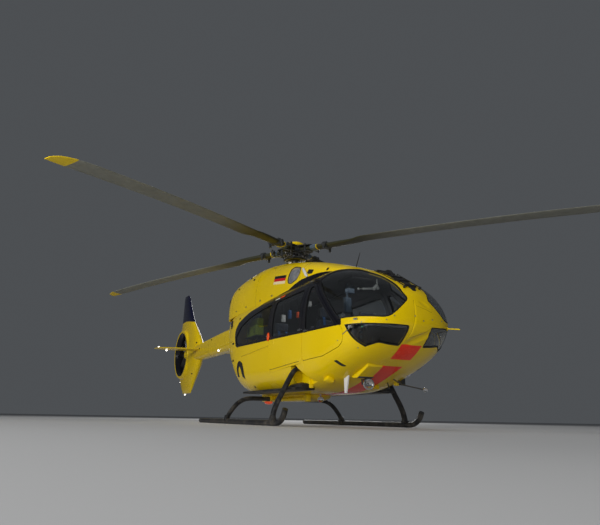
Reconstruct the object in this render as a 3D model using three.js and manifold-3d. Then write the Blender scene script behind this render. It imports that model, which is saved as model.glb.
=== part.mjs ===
// A light twin-engine rescue helicopter on skids: four-bladed main rotor, shrouded tail rotor,
// hinged pilot doors, sliding cabin doors and two clamshell doors at the back of the cabin.
// Millimetres, +X to the nose, +Y to port, +Z up. The origin is on the ground under the middle
// of the whole machine's box. Lengths along the machine are counted from the rotor mast.

import * as THREE from 'three';
import { LoftGeometry } from 'three/addons/geometries/LoftGeometry.js';
import { mergeVertices } from 'three/addons/utils/BufferGeometryUtils.js';
import Module from 'manifold-3d';

const wasm = await Module();
wasm.setup();

// Driving dimensions

const mastX = 1684;             // mast axis, forward of the origin
const seat = 0.3;               // gap between two pieces that touch
const wall = 40;                // cabin wall and door thickness
const doorGap = 8;              // running gap round a hinged door

const rotorRadius = 5500;
const rotorPlane = 3300;        // height of the blade roots
const rotorHeading = -57.8;     // first blade, degrees from straight ahead
const bladeCount = 4;
const bladeDroop = 250;         // a parked blade's tip hangs this far down
const mastRadius = 62;
const hubRadius = 150;
const capRadius = 185;
const capTop = 3480;

const fanX = -7360;             // tail rotor axis
const fanZ = 1950;
const fanRadius = 560;
const fanBladeCount = 10;
const ductRadius = 572;
const ductLip = 680;

const skidY = 1200;             // skid tubes, half the track
const skidRadius = 42;
const crossFront = 1570;
const crossRear = -380;
const crossRadius = 40;

const gearboxTop = 2900;
const floorTop = 950;
const floorThick = 40;
const plateRise = 8;            // the stretcher plate stands this far above the floor

// Colours

const paint = (name, color, roughness, metalness = 0) => {
  const material = new THREE.MeshStandardMaterial({ color, roughness, metalness });
  material.name = name;
  return material;
};
const yellow = paint('yellow', 0xe0b400, 0.3);
const black = paint('black', 0x15161a, 0.5);
const glass = paint('glass', 0x1a2226, 0.08);
const bladeGrey = paint('blade', 0x8d9092, 0.45);
const steel = paint('steel', 0x8a8c90, 0.4, 0.8);
const darkMetal = paint('dark_metal', 0x3a3b3e, 0.5, 0.6);
const chrome = paint('lamp_chrome', 0xd8dadc, 0.1, 1);
const trim = paint('trim', 0x2b2d31, 0.8);
const cloth = paint('seat_cloth', 0x2d3950, 0.9);
const white = paint('white', 0xe8e9ea, 0.4);

// Solids: a closed geometry goes in, a closed geometry comes out

function solid(geometry) {
  const bare = new THREE.BufferGeometry();
  bare.setAttribute('position', geometry.attributes.position.clone());
  if (geometry.index) bare.setIndex(geometry.index.clone());
  const joined = mergeVertices(bare, 0.001);
  const vertProperties = new Float32Array(joined.attributes.position.array);
  const triVerts = new Uint32Array(joined.index.array);
  return new wasm.Manifold(new wasm.Mesh({ numProp: 3, vertProperties, triVerts }));
}

function geometryOf(body) {
  const mesh = body.getMesh();
  const geometry = new THREE.BufferGeometry();
  geometry.setAttribute('position', new THREE.BufferAttribute(new Float32Array(mesh.vertProperties), 3));
  geometry.setIndex(new THREE.BufferAttribute(new Uint32Array(mesh.triVerts), 1));
  geometry.computeVertexNormals();
  return geometry;
}

const joinAll = (bodies) => bodies.reduce((sum, body) => sum.add(body));

// The other side: y changes its sign and every triangle is turned round
function mirrored(geometry) {
  const other = geometry.clone();
  other.scale(1, -1, 1);
  const index = other.index.array;
  for (let i = 0; i < index.length; i += 3) {
    [index[i + 1], index[i + 2]] = [index[i + 2], index[i + 1]];
  }
  other.computeVertexNormals();
  return other;
}

const bothSides = (body) => body.add(solid(mirrored(geometryOf(body))));

// A prism: an outline drawn in the plane across an axis, pushed along that axis
function prism(axis, outline, from, to) {
  const shape = new THREE.Shape(outline.map(([a, b]) => new THREE.Vector2(a, b)));
  const geometry = new THREE.ExtrudeGeometry(shape, { depth: to - from, bevelEnabled: false });
  const place = new THREE.Matrix4();
  if (axis === 'z') place.makeTranslation(0, 0, from);
  if (axis === 'x') place.set(0, 0, 1, from, 1, 0, 0, 0, 0, 1, 0, 0, 0, 0, 0, 1);
  if (axis === 'y') place.set(1, 0, 0, 0, 0, 0, -1, to, 0, 1, 0, 0, 0, 0, 0, 1);
  geometry.applyMatrix4(place);
  return solid(geometry);
}

function box(x0, x1, y0, y1, z0, z1) {
  const geometry = new THREE.BoxGeometry(x1 - x0, y1 - y0, z1 - z0);
  geometry.translate((x0 + x1) / 2, (y0 + y1) / 2, (z0 + z1) / 2);
  return solid(geometry);
}

// A round bar between two points, which may taper
function bar(from, to, radius, sides = 12, endRadius = radius) {
  const a = new THREE.Vector3(...from);
  const b = new THREE.Vector3(...to);
  const geometry = new THREE.CylinderGeometry(endRadius, radius, a.distanceTo(b), sides);
  const turn = new THREE.Quaternion().setFromUnitVectors(
    new THREE.Vector3(0, 1, 0), b.clone().sub(a).normalize());
  geometry.applyQuaternion(turn);
  geometry.translate(...a.add(b).multiplyScalar(0.5));
  return solid(geometry);
}

// A solid of revolution about a line along Y or Z; profile points are [radius, height]
function turned(profile, axis, centre, sides = 40) {
  const geometry = new THREE.LatheGeometry(profile.map(([r, h]) => new THREE.Vector2(r, h)), sides);
  if (axis === 'z') geometry.rotateX(Math.PI / 2);
  geometry.translate(...centre);
  return solid(geometry);
}

// An oval bar swept along points that lie in one plane; across is that plane's normal
function swept(points, across, halfAcross, halfInPlane, sides = 12) {
  const line = points.map((p) => new THREE.Vector3(...p));
  const normal = new THREE.Vector3(...across);
  const rings = line.map((point, i) => {
    const before = line[Math.max(i - 1, 0)];
    const after = line[Math.min(i + 1, line.length - 1)];
    const inPlane = after.clone().sub(before).normalize().cross(normal);
    const ring = [];
    for (let k = 0; k < sides; k += 1) {
      const angle = (2 * Math.PI * k) / sides;
      ring.push(point.clone()
        .addScaledVector(normal, halfAcross * Math.cos(angle))
        .addScaledVector(inPlane, halfInPlane * Math.sin(angle)));
    }
    return ring;
  });
  return solid(new LoftGeometry(rings, { capStart: true, capEnd: true }));
}

// An outline moved inwards by a distance, corner by corner
function inset(outline, distance) {
  const turn = THREE.ShapeUtils.area(outline.map(([a, b]) => new THREE.Vector2(a, b))) > 0 ? 1 : -1;
  return outline.map((corner, i) => {
    const before = outline[(i + outline.length - 1) % outline.length];
    const after = outline[(i + 1) % outline.length];
    const normal = ([ax, ay], [bx, by]) => {
      const length = Math.hypot(bx - ax, by - ay);
      return [(-(by - ay) / length) * turn, ((bx - ax) / length) * turn];
    };
    const [n, m] = [normal(before, corner), normal(corner, after)];
    const share = distance / (1 + n[0] * m[0] + n[1] * m[1]);
    return [corner[0] + (n[0] + m[0]) * share, corner[1] + (n[1] + m[1]) * share];
  });
}

// A body that is the same on both sides, made from its port half
const symmetric = (body) => bothSides(body.intersect(box(-9000, 9000, 0, 3000, -1000, 5000)));

// Cross-section of the cabin or cowling: a squared oval, with its own curve above and below
// its widest line. Drawn from port over the top, as seen from the nose.
const ringPoints = 32;

function ovalRing(x, halfWidth, bottom, widest, top, upper, lower) {
  const ring = [];
  for (let i = 0; i < ringPoints; i += 1) {
    const angle = (2 * Math.PI * i) / ringPoints;
    const power = 2 / (Math.sin(angle) >= 0 ? upper : lower);
    const reach = Math.sin(angle) >= 0 ? top - widest : widest - bottom;
    const y = i % (ringPoints / 2) === ringPoints / 4
      ? 0 : Math.sign(Math.cos(angle)) * Math.abs(Math.cos(angle)) ** power * halfWidth;
    const z = widest + Math.sign(Math.sin(angle)) * Math.abs(Math.sin(angle)) ** power * reach;
    ring.push(new THREE.Vector3(x + mastX, y, z));
  }
  return ring;
}

// Cabin sections from the tail boom to the nose:
// x from the mast, half-width, belly, widest line, roof, squareness above, squareness below
const cabinSections = [
  [-2450, 252, 1655, 1940, 2225, 2.4, 2.4],
  [-2250, 400, 1570, 1930, 2285, 2.3, 2.2],
  [-2050, 560, 1380, 1890, 2310, 2.5, 2.2],
  [-1800, 680, 1090, 1800, 2340, 2.8, 2.4],
  [-1400, 785, 770, 1600, 2360, 3.0, 2.8],
  [-950, 840, 560, 1350, 2375, 3.1, 3.2],
  [-300, 863, 500, 1200, 2380, 3.2, 3.6],
  [900, 865, 495, 1150, 2380, 3.2, 3.6],
  [1700, 860, 505, 1150, 2395, 3.1, 3.4],
  [2150, 848, 575, 1170, 2375, 3.1, 3.2],
  [2550, 835, 695, 1220, 2285, 2.8, 3.0],
  [2900, 805, 820, 1290, 2145, 2.4, 2.8],
  [3150, 745, 935, 1345, 2010, 2.2, 2.6],
  [3330, 645, 1055, 1370, 1900, 2.05, 2.5],
  [3450, 530, 1160, 1380, 1800, 1.9, 2.4],
  [3520, 375, 1240, 1385, 1690, 1.9, 2.2],
  [3555, 170, 1320, 1390, 1550, 1.95, 2.0],
];

const narrowest = 135;          // a moved skin leaves out sections with less half-width than this

// The cabin's outer skin moved outwards, or inwards where the distance is below zero
function cabinSkin(distance) {
  const last = cabinSections.length - 1;
  const kept = cabinSections.filter((row) => row[1] + distance > narrowest);
  const rings = kept.map(([x, halfWidth, bottom, widest, top, upper, lower]) => {
    const shift = x === cabinSections[0][0] ? -distance : x === cabinSections[last][0] ? distance : 0;
    return ovalRing(x + shift, halfWidth + distance, bottom - distance, widest, top + distance, upper, lower);
  });
  return symmetric(solid(new LoftGeometry(rings, { capStart: true, capEnd: true })));
}

// Openings in the cabin, drawn in side view as [x from the mast, z]
const side = (outline) => outline.map(([x, z]) => [x + mastX, z]);

const pilotDoorOutline = [
  [1860, 940], [2420, 965], [2600, 1005], [2800, 1055], [2890, 1110], [2925, 1180], [2925, 1290],
  [2060, 2147], [1860, 2147],
];
const pilotWindowOutline = [[1945, 1385], [2762, 1372], [2050, 2085], [1945, 2085]];
const slidingDoorOutline = [
  [690, 850], [1780, 905], [1848, 960], [1848, 2150], [760, 2150], [690, 2080],
];
const slidingWindowOutline = [[775, 1420], [1775, 1395], [1775, 2085], [775, 2065]];
const quarterWindowOutline = [
  [600, 1430], [600, 2065], [200, 2040], [-350, 1960], [-760, 1830], [-990, 1640], [-980, 1560], [-840, 1455],
];
const clamshellOutline = [[-2700, 300], [-1150, 300], [-1150, 1600], [-2700, 1600]];

// The windshield and the chin window are bounded in side view by their rear edges, in front view
// [y, z] by their lower and inner edges, and the windshield from above [x, y] by its upper edge
const windshieldSide = [[2850, 1425], [2900, 1300], [3700, 1300], [3700, 2700], [1580, 2700]];
const windshieldFront = [
  [158, 1645], [329, 1490], [462, 1378], [1000, 1461], [1000, 2700], [185, 2700], [185, 1950], [195, 1750],
];
const windshieldTop = [
  [2450, 260], [2812, 233], [2960, 200], [3200, 170], [3700, 150], [3700, 1000], [1900, 1000], [2150, 620],
  [2350, 400],
];
const chinSide = [[2972, 1337], [3066, 1167], [3138, 1039], [3145, 900], [3700, 900], [3700, 1450], [2972, 1450]];
const chinFront = [
  [172, 1291], [567, 1306], [1000, 1360], [1000, 900], [640, 900], [593, 1039], [480, 1083], [344, 1062],
  [188, 1050],
];

const nearSide = 20;            // inner end of the cuts through one side of the cabin
const farSide = 1000;

function sideCut(outline, gap) {
  return prism('y', inset(side(outline), gap), nearSide, farSide);
}

function frontCut(outline, gap) {
  return prism('x', inset(outline, gap), 1800 + mastX, 3800 + mastX);
}

function windshieldCut(gap) {
  const seenFromTop = windshieldTop.map(([x, y]) => [x + mastX, y]);
  return sideCut(windshieldSide, gap)
    .intersect(frontCut(windshieldFront, gap))
    .intersect(prism('z', inset(seenFromTop, gap), 1000, 3000));
}

const chinCut = (gap) => sideCut(chinSide, gap).intersect(frontCut(chinFront, gap));

// Cabin shell, doors and glass. Everything is worked out for port and mirrored to starboard.

const cabinSolid = cabinSkin(0);
const cabinHollow = cabinSkin(-wall);
const cabinWall = cabinSolid.subtract(cabinHollow);
const glassOuter = 8;           // glass lies this far below the skin
const glassInner = 14;
const glassLayer = cabinSkin(-glassOuter).subtract(cabinSkin(-glassInner));

const portOpenings = [
  sideCut(pilotDoorOutline, 0),
  sideCut(slidingDoorOutline, 0),
  sideCut(quarterWindowOutline, 0),
  prism('y', side(clamshellOutline), -1, farSide),
  windshieldCut(0),
  chinCut(0),
];
const allOpenings = [
  ...portOpenings,
  ...portOpenings.map((cut) => solid(mirrored(geometryOf(cut)))),
];

// Recess in each lower side for the front cross tube, lined like the cabin wall
const recessOutline = [[1470, 300], [1470, 860], [1520, 905], [1640, 905], [1690, 860], [2120, 560], [2300, 300]];
const recessInner = 660;
const liner = 20;
const recess = prism('y', side(recessOutline), recessInner, farSide);
const recessLined = prism('y', inset(side(recessOutline), -liner), recessInner - liner, farSide);
const frontTubeHeight = 862;    // the front cross tube's middle, where it crosses under the floor
const tubeHoleRadius = 66;
const tubeHole = bar([crossFront + mastX, -recessInner - 5, frontTubeHeight],
  [crossFront + mastX, recessInner + 5, frontTubeHeight], tubeHoleRadius, 16);

// Fairing over the search light, to starboard of the belly's middle, in side view
const lampFairingOutline = [[2910, 900], [2910, 810], [2700, 710], [2640, 672], [2500, 672], [2470, 720], [2470, 900]];
const lampFairingSides = [-400, -130];
const lampFairing = prism('y', side(lampFairingOutline), ...lampFairingSides).subtract(cabinHollow);

const fuselageShell = cabinWall
  .add(lampFairing)
  .add(bothSides(recessLined).intersect(cabinSkin(-wall / 2)))
  .subtract(bothSides(recess))
  .subtract(tubeHole)
  .subtract(joinAll(allOpenings));

const pilotDoor = cabinWall.intersect(sideCut(pilotDoorOutline, doorGap)).subtract(sideCut(pilotWindowOutline, 0));
const slidingDoor = cabinWall.intersect(sideCut(slidingDoorOutline, seat))
  .subtract(sideCut(slidingWindowOutline, 0));
const clamshellDoor = cabinWall.intersect(
  prism('y', inset(side(clamshellOutline), doorGap), doorGap / 2, farSide));

// Hinges: a pin line just outside the skin at each door's front edge. On every hinge the door's
// knuckle runs between two knuckles of the frame.
const pilotHinge = { x: 2925, y: 815, z: 1235, spread: 45 };
const clamshellHinge = { x: -1150, y: 828, z: 1370, spread: 160 };
const knuckleRadius = 9;
const knuckleLength = 26;
const knuckleGap = 0.5;
const armAlong = 38;
const armInwards = 48;
const armRadius = 7;

const hingePoint = ({ x, y, z }, along) => [x + mastX, y, z + along];

// One knuckle with its short arm into the wall, towards the door or away from it
function knuckle(hinge, along, towards) {
  const half = knuckleLength / 2;
  const low = hingePoint(hinge, along - half);
  const high = hingePoint(hinge, along + half);
  const middle = hingePoint(hinge, along);
  const root = [middle[0] + towards * armAlong, middle[1] - armInwards, middle[2]];
  return bar(low, high, knuckleRadius, 8).add(bar(middle, root, armRadius, 4));
}

const hingeSpots = ({ spread }) => [-spread, spread];
const doorKnuckles = (hinge) => joinAll(hingeSpots(hinge).map((along) => knuckle(hinge, along, -1)));
const frameKnuckles = (hinge) => joinAll(hingeSpots(hinge).flatMap((along) => [-1, 1].map(
  (end) => knuckle(hinge, along + end * (knuckleLength + knuckleGap), 1))));

const panes = {
  windshield: windshieldCut(seat),
  chin_window: chinCut(seat),
  quarter_window: sideCut(quarterWindowOutline, seat),
  pilot_door_glass: sideCut(pilotWindowOutline, seat),
  sliding_door_glass: sideCut(slidingWindowOutline, seat),
};

// The model

const helicopter = new THREE.Group();

function add(name, geometry, material) {
  const mesh = new THREE.Mesh(geometry, material);
  mesh.name = name;
  helicopter.add(mesh);
  return mesh;
}

// Port and starboard copies of one piece
function addPair(name, body, material) {
  const port = geometryOf(body);
  add(`${name}_L`, port, material);
  add(`${name}_R`, mirrored(port), material);
}

// Cabin floor: a flat deck with a raised stretcher plate, and the fuel tank below it in the belly
const floorClear = 2;           // room between the cabin wall and the pieces inside it
const floorEnds = [-1100 + mastX, 2950 + mastX];
const tankEnds = [-600 + mastX, 1400 + mastX];
const plateEnds = [720 + mastX, 1700 + mastX];
const plateHalfWidth = 560;
const tankLow = 300;            // below the belly, so that the cabin's inside cuts the tank
const inside = cabinSkin(-wall - floorClear).subtract(bothSides(prism(
  'y', inset(side(recessOutline), -liner - seat), recessInner - liner - seat, farSide)));
const stretcherPlate = box(...plateEnds, -plateHalfWidth, plateHalfWidth, floorTop - 1, floorTop + plateRise);
const deck = inside
  .intersect(box(...floorEnds, -farSide, farSide, floorTop - floorThick, floorTop))
  .add(stretcherPlate);
const tank = inside.intersect(box(...tankEnds, -farSide, farSide, tankLow, floorTop - floorThick - seat));

add('fuselage_shell', geometryOf(fuselageShell
  .add(bothSides(frameKnuckles(pilotHinge)))
  .add(bothSides(frameKnuckles(clamshellHinge)))), yellow);
add('cabin_floor', geometryOf(deck), trim);
add('fuel_tank', geometryOf(tank), darkMetal);
addPair('pilot_door', pilotDoor.add(doorKnuckles(pilotHinge)), yellow);
addPair('sliding_door', slidingDoor, yellow);
addPair('clamshell_door', clamshellDoor.add(doorKnuckles(clamshellHinge)), yellow);
for (const [name, cut] of Object.entries(panes)) addPair(name, glassLayer.intersect(cut), glass);

// Engine cowling on the roof, open below. Rows: x from the mast, half-width, top
const cowlingSections = [
  [-2230, 440, 2820],
  [-2150, 560, 2930],
  [-1850, 640, 3020],
  [-1300, 660, 3065],
  [-700, 660, 3080],
  [0, 650, 3010],
  [700, 620, 2870],
  [1400, 560, 2690],
  [2000, 455, 2490],
  [2300, 330, 2375],
];
const cowlingBase = 2150;

function cowlingSkin(distance) {
  const rings = cowlingSections.map(([x, halfWidth, top], i) => {
    const shift = i === 0 ? -distance : i === cowlingSections.length - 1 ? distance : 0;
    const low = cowlingBase - Math.max(-distance, 0) * 4;
    return ovalRing(x + shift, halfWidth + distance, low, cowlingBase, top + distance, 2.9, 2);
  });
  return symmetric(solid(new LoftGeometry(rings, { capStart: true, capEnd: true })));
}

const mastHole = 130;
const cowlingWall = 30;
const cowlingGap = 1;           // between the cowling's edge and the cabin roof
const belowCowling = box(-4000 + mastX, 4000 + mastX, -farSide, farSide, 0, cowlingBase + 20);
const cowling = cowlingSkin(0)
  .subtract(cowlingSkin(-cowlingWall))
  .subtract(cabinSkin(cowlingGap))
  .subtract(belowCowling)
  .subtract(bar([mastX, 0, 2600], [mastX, 0, rotorPlane], mastHole, 32));

// Exhaust pipes leave through the back of the cowling
const exhaustY = 265;
const exhaustZ = 2610;
const exhaustRadius = 135;
const exhaustWall = 6;
const exhaustDepth = 130;       // the pipe is closed this far behind the engine
const engineFront = -560;
const engineBack = -1690;
const engineSide = 470;
const engineTop = 2830;
const roofTop = 2380 + seat;
const engineClear = box(engineBack - seat + mastX, engineFront + mastX, -500, 500, roofTop, engineTop);
const exhaustFrom = new THREE.Vector3(-1650 + mastX, exhaustY, exhaustZ);
const exhaustTo = new THREE.Vector3(-2420 + mastX, exhaustY + 60, exhaustZ + 30);
const alongPipe = exhaustTo.clone().sub(exhaustFrom).normalize();
const boreFrom = exhaustFrom.clone().addScaledVector(alongPipe, exhaustDepth);
const boreTo = exhaustTo.clone().addScaledVector(alongPipe, 40);
const exhaustPipe = bar(exhaustFrom, exhaustTo, exhaustRadius, 24)
  .subtract(engineClear)
  .subtract(bar(boreFrom, boreTo, exhaustRadius - exhaustWall, 24));
const exhaustCut = bar(exhaustFrom, exhaustTo, exhaustRadius + seat, 24);

// Air intake beside the gearbox, closed by a grille
const intakeOutline = [
  [865, 2430], [905, 2372], [1010, 2352], [1165, 2393], [1225, 2490], [1155, 2620], [930, 2690], [865, 2655],
];
const intakeInner = 300;        // inner end of the intake's cut
const grilleOuter = 6;          // the grille lies this far below the cowling's skin
const grilleInner = 14;
const intakeCut = prism('y', side(intakeOutline), intakeInner, farSide);
const grille = cowlingSkin(-grilleOuter).subtract(cowlingSkin(-grilleInner))
  .intersect(prism('y', inset(side(intakeOutline), seat), intakeInner, farSide));

add('engine_cowling', geometryOf(cowling
  .subtract(exhaustCut)
  .subtract(solid(mirrored(geometryOf(exhaustCut))))
  .subtract(intakeCut)
  .subtract(solid(mirrored(geometryOf(intakeCut))))), yellow);
addPair('exhaust_pipe', exhaustPipe, steel);
addPair('intake_grille', grille, darkMetal);

add('engine_block', geometryOf(box(engineBack + mastX, engineFront + mastX, -engineSide, engineSide,
  roofTop, engineTop)), darkMetal);
const gearboxHalf = [330, 260];
const gearboxNeck = { low: 2650, radius: 190, topRadius: 110 };
add('main_gearbox', geometryOf(joinAll([
  box(mastX - gearboxHalf[0], mastX + gearboxHalf[0], -gearboxHalf[1], gearboxHalf[1], roofTop, gearboxNeck.low + 50),
  bar([mastX, 0, gearboxNeck.low], [mastX, 0, gearboxTop], gearboxNeck.radius, 24, gearboxNeck.topRadius),
])), darkMetal);

// Tail boom, from the cabin's last section to the shroud
// Rows: x from the mast, half-width, half-height, middle, squareness
const boomSections = [
  [-6150, 160, 215, 1895, 3.0],
  [-5200, 172, 238, 1908, 3.0],
  [-3600, 210, 265, 1936, 2.8],
  [-2450, 251, 284, 1940, 2.4],
];

// The boom's skin moved outwards, with its front end moved back
function boomSkin(distance, shortened) {
  const rings = boomSections.map(([x, halfWidth, halfHeight, middle, squareness]) => {
    const end = x === boomSections[boomSections.length - 1][0] ? shortened : 0;
    return ovalRing(x - end, halfWidth + distance, middle - halfHeight - distance, middle,
      middle + halfHeight + distance, squareness, squareness);
  });
  return solid(new LoftGeometry(rings, { capStart: true, capEnd: true }));
}

const boom = boomSkin(0, seat);

// Fin and shroud: flat lens-shaped sections stacked upwards.
// Rows: height, leading edge, trailing edge (from the mast), half-thickness
const finSections = [
  [780, -6830, -7620, 25],
  [860, -6740, -7710, 55],
  [1060, -6530, -7880, 90],
  [1300, -6280, -8010, 140],
  [1600, -6000, -8105, 185],
  [1950, -5850, -8140, 205],
  [2300, -6050, -8115, 185],
  [2650, -6420, -8060, 125],
  [2950, -6760, -8000, 90],
  [3400, -7090, -7940, 65],
  [3780, -7350, -7900, 45],
  [3870, -7470, -7880, 25],
];
const finRingPoints = 24;

function finRing([height, lead, trail, halfThick]) {
  const ring = [];
  for (let i = 0; i < finRingPoints; i += 1) {
    const angle = (2 * Math.PI * i) / finRingPoints;
    const middle = (lead + trail) / 2 + mastX;
    const along = ((lead - trail) / 2) * Math.cos(angle);
    const fuller = Math.cos(angle) > 0 ? 0.7 : 1.0;
    const y = halfThick * Math.sign(Math.sin(angle)) * Math.abs(Math.sin(angle)) ** fuller;
    ring.push(new THREE.Vector3(middle + along, y, height));
  }
  return ring;
}

const finSolid = solid(new LoftGeometry(finSections.map(finRing), { capStart: true, capEnd: true }));
const fan = [fanX + mastX, 0, fanZ];
const shroudHalf = 220;
const shroudRadius = 780;
const shroudRing = turned([
  [0, -shroudHalf], [shroudRadius - 60, -shroudHalf], [shroudRadius - 15, -120], [shroudRadius, 0],
  [shroudRadius - 15, 120], [shroudRadius - 60, shroudHalf], [0, shroudHalf],
], 'y', fan, 40);
const duct = turned([
  [0, -shroudHalf - 60], [ductLip + 40, -shroudHalf - 60], [ductLip, -shroudHalf], [ductRadius + 30, -140],
  [ductRadius, -80], [ductRadius, 110], [ductRadius + 35, shroudHalf], [ductRadius + 50, shroudHalf + 60],
  [0, shroudHalf + 60],
], 'y', fan, 40);
const boomSocket = boomSkin(seat, 0);
add('tail_boom', geometryOf(boom), yellow);
add('tail_shroud', geometryOf(finSolid.add(shroudRing).subtract(duct).subtract(boomSocket)), yellow);

// Tail rotor: ten blades on a hub, running inside the duct
const fanHubRadius = 130;
const fanMiddle = -40;
const fanBladeRoot = 60;
const fanBladeThick = 9;
const fanBladeChord = 80;
const fanBladePitch = 32;
const fanBlades = [];
for (let i = 0; i < fanBladeCount; i += 1) {
  const blade = new THREE.BoxGeometry(fanRadius - fanBladeRoot, fanBladeThick, fanBladeChord);
  blade.rotateX(THREE.MathUtils.degToRad(fanBladePitch));
  blade.translate((fanBladeRoot + fanRadius) / 2, 0, 0);
  blade.rotateY((2 * Math.PI * i) / fanBladeCount);
  blade.translate(fan[0], fanMiddle, fan[2]);
  fanBlades.push(solid(blade));
}
const fanHub = turned([[0, -50], [80, -50], [fanHubRadius, -20], [fanHubRadius, 40], [0, 40]], 'y',
  [fan[0], fanMiddle, fan[2]], 32);
add('tail_rotor', geometryOf(joinAll([fanHub, ...fanBlades])), darkMetal);

// Fixed vanes and gear housing behind the tail rotor
const vaneCount = 11;
const runningGap = 5.5;
const shaftGap = 0.5;
const housing = turned([
  [0, shaftGap], [45, shaftGap], [45, runningGap], [fanHubRadius, runningGap], [fanHubRadius, 120], [70, 190],
  [0, 190],
], 'y', fan, 32);
const vaneInner = 100;
const vaneThick = 12;
const vaneChord = 70;
const vaneMiddle = 70;
const vaneLength = ductRadius - seat - vaneInner;
const vanes = [];
for (let i = 0; i < vaneCount; i += 1) {
  const vane = new THREE.BoxGeometry(vaneLength, vaneChord, vaneThick);
  vane.translate(vaneInner + vaneLength / 2, 0, 0);
  vane.rotateY((2 * Math.PI * (i + 0.5)) / vaneCount);
  vane.translate(fan[0], vaneMiddle, fan[2]);
  vanes.push(solid(vane));
}
add('tail_stator', geometryOf(joinAll([housing, ...vanes]).intersect(
  bar([fan[0], -300, fan[2]], [fan[0], 300, fan[2]], ductRadius - seat - 0.1, 40))), yellow);

// Stabiliser: one plane through the boom, cut into a half on each side
// Rows: distance out from the middle, leading edge, trailing edge, half-thickness
const stabSections = [[0, -5560, -6120, 34], [1230, -5860, -6270, 22], [1300, -5930, -6250, 10]];
const stabHeight = 1950;

function stabRing([y, lead, trail, halfThick]) {
  const ring = [];
  const points = 16;
  for (let i = 0; i < points; i += 1) {
    const angle = (-2 * Math.PI * i) / points;
    const x = (lead + trail) / 2 + mastX + ((lead - trail) / 2) * Math.cos(angle);
    ring.push(new THREE.Vector3(x, y, stabHeight + halfThick * Math.sin(angle)));
  }
  return ring;
}

const stabHalf = solid(new LoftGeometry(stabSections.map(stabRing), { capStart: true, capEnd: true }))
  .subtract(boomSocket)
  .subtract(finSolid);
addPair('stabiliser', stabHalf, yellow);

// Skids and their two cross tubes. The rear tube passes under the belly; the front one rises
// into a recess on each side and crosses below the floor.
const skidEnd = -1920;
const skidBend = 1660;
const skidPoints = [
  [skidEnd, skidRadius], [skidBend, skidRadius], [1770, 52], [1870, 90], [1945, 150], [2000, 240],
].map(([x, z]) => [x + mastX, skidY, z]);
const skid = swept(skidPoints, [0, 1, 0], skidRadius, skidRadius);
addPair('skid_tube', skid, black);

// One half of each tube in front view as [y, z], from the skid to the middle
const frontTubeHalf = [
  [1200, 60], [1190, 160], [1140, 305], [1030, 500], [915, 700], [850, 800], [790, 848], [700, 862], [0, 862],
];
const rearTubeHalf = [
  [1200, 60], [1180, 130], [1100, 250], [970, 380], [840, 440], [700, 455], [0, 455],
];

function crossTube(half, x, halfAlong, halfInPlane, sides) {
  const other = half.slice(0, -1).map(([y, z]) => [-y, z]).reverse();
  const points = [...half, ...other].map(([y, z]) => [x + mastX, y, z]);
  return swept(points, [1, 0, 0], halfAlong, halfInPlane, sides);
}

const skidCuff = (x, radius, half) => joinAll([1, -1].map((hand) => bar(
  [x - half + mastX, hand * skidY, skidRadius], [x + half + mastX, hand * skidY, skidRadius], radius, 12)));
const cuffWall = 12;
const cuffHalf = 80;
const aboveFloor = box(-3000 + mastX, 3000 + mastX, -1400, 1400, 2, 1200);
const frontTubeAlong = crossRadius + 18;      // the front tube wears a flat fairing
const frontTubeAcross = crossRadius - 4;
const frontTube = crossTube(frontTubeHalf, crossFront, frontTubeAlong, frontTubeAcross, 12);
const rearTube = crossTube(rearTubeHalf, crossRear, crossRadius, crossRadius, 12);

// Blocks that carry the cabin on a cross tube, one on each side of the middle
const padY = 400;
const padHalfAlong = 60;
const padHalfAcross = 50;
const rearTubeHeight = 455;
const pads = (x, low, high) => [1, -1].map((hand) => box(
  x - padHalfAlong + mastX, x + padHalfAlong + mastX,
  hand * padY - padHalfAcross, hand * padY + padHalfAcross, low, high));
add('cross_tube_front', geometryOf(joinAll([
  frontTube, skidCuff(crossFront, skidRadius + cuffWall, cuffHalf),
  ...pads(crossFront, frontTubeHeight, floorTop - floorThick - seat),
]).subtract(skidCuff(crossFront, skidRadius + 1, cuffHalf + 10)).intersect(aboveFloor)), black);
add('cross_tube_rear', geometryOf(joinAll([
  rearTube, skidCuff(crossRear, skidRadius + cuffWall, cuffHalf), ...pads(crossRear, rearTubeHeight, 560),
]).subtract(skidCuff(crossRear, skidRadius + 1, cuffHalf + 10)).subtract(cabinSkin(seat)).intersect(aboveFloor)), black);

// Steps: a black board along each side of the belly, its inner edge on the cabin's skin
const stepLow = 530;
const stepHigh = 565;
const stepEnds = [-320 + mastX, 1720 + mastX];
const stepInner = 560;
const stepOuter = 925;
addPair('step', box(...stepEnds, stepInner, stepOuter, stepLow, stepHigh).subtract(cabinSkin(seat)), black);

// Fairing under the belly, over the rear cross tube
const bellySections = [[-720, 120, 470], [-560, 300, 415], [640, 320, 400], [880, 230, 425], [980, 110, 470]];
const bellyWidest = 515;
const bellyTop = 560;
const bellyRings = bellySections.map(([x, halfWidth, low]) => ovalRing(
  x, halfWidth, low, bellyWidest, bellyTop, 2.5, 2.5));
const rearTubeRoom = crossTube(rearTubeHalf, crossRear, crossRadius + 1, crossRadius + 1, 12);
add('belly_fairing', geometryOf(solid(new LoftGeometry(bellyRings, { capStart: true, capEnd: true }))
  .subtract(cabinSkin(seat)).subtract(rearTubeRoom)
  .subtract(joinAll(pads(crossRear, bellyTop - 180, bellyTop + 40)))), yellow);

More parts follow.
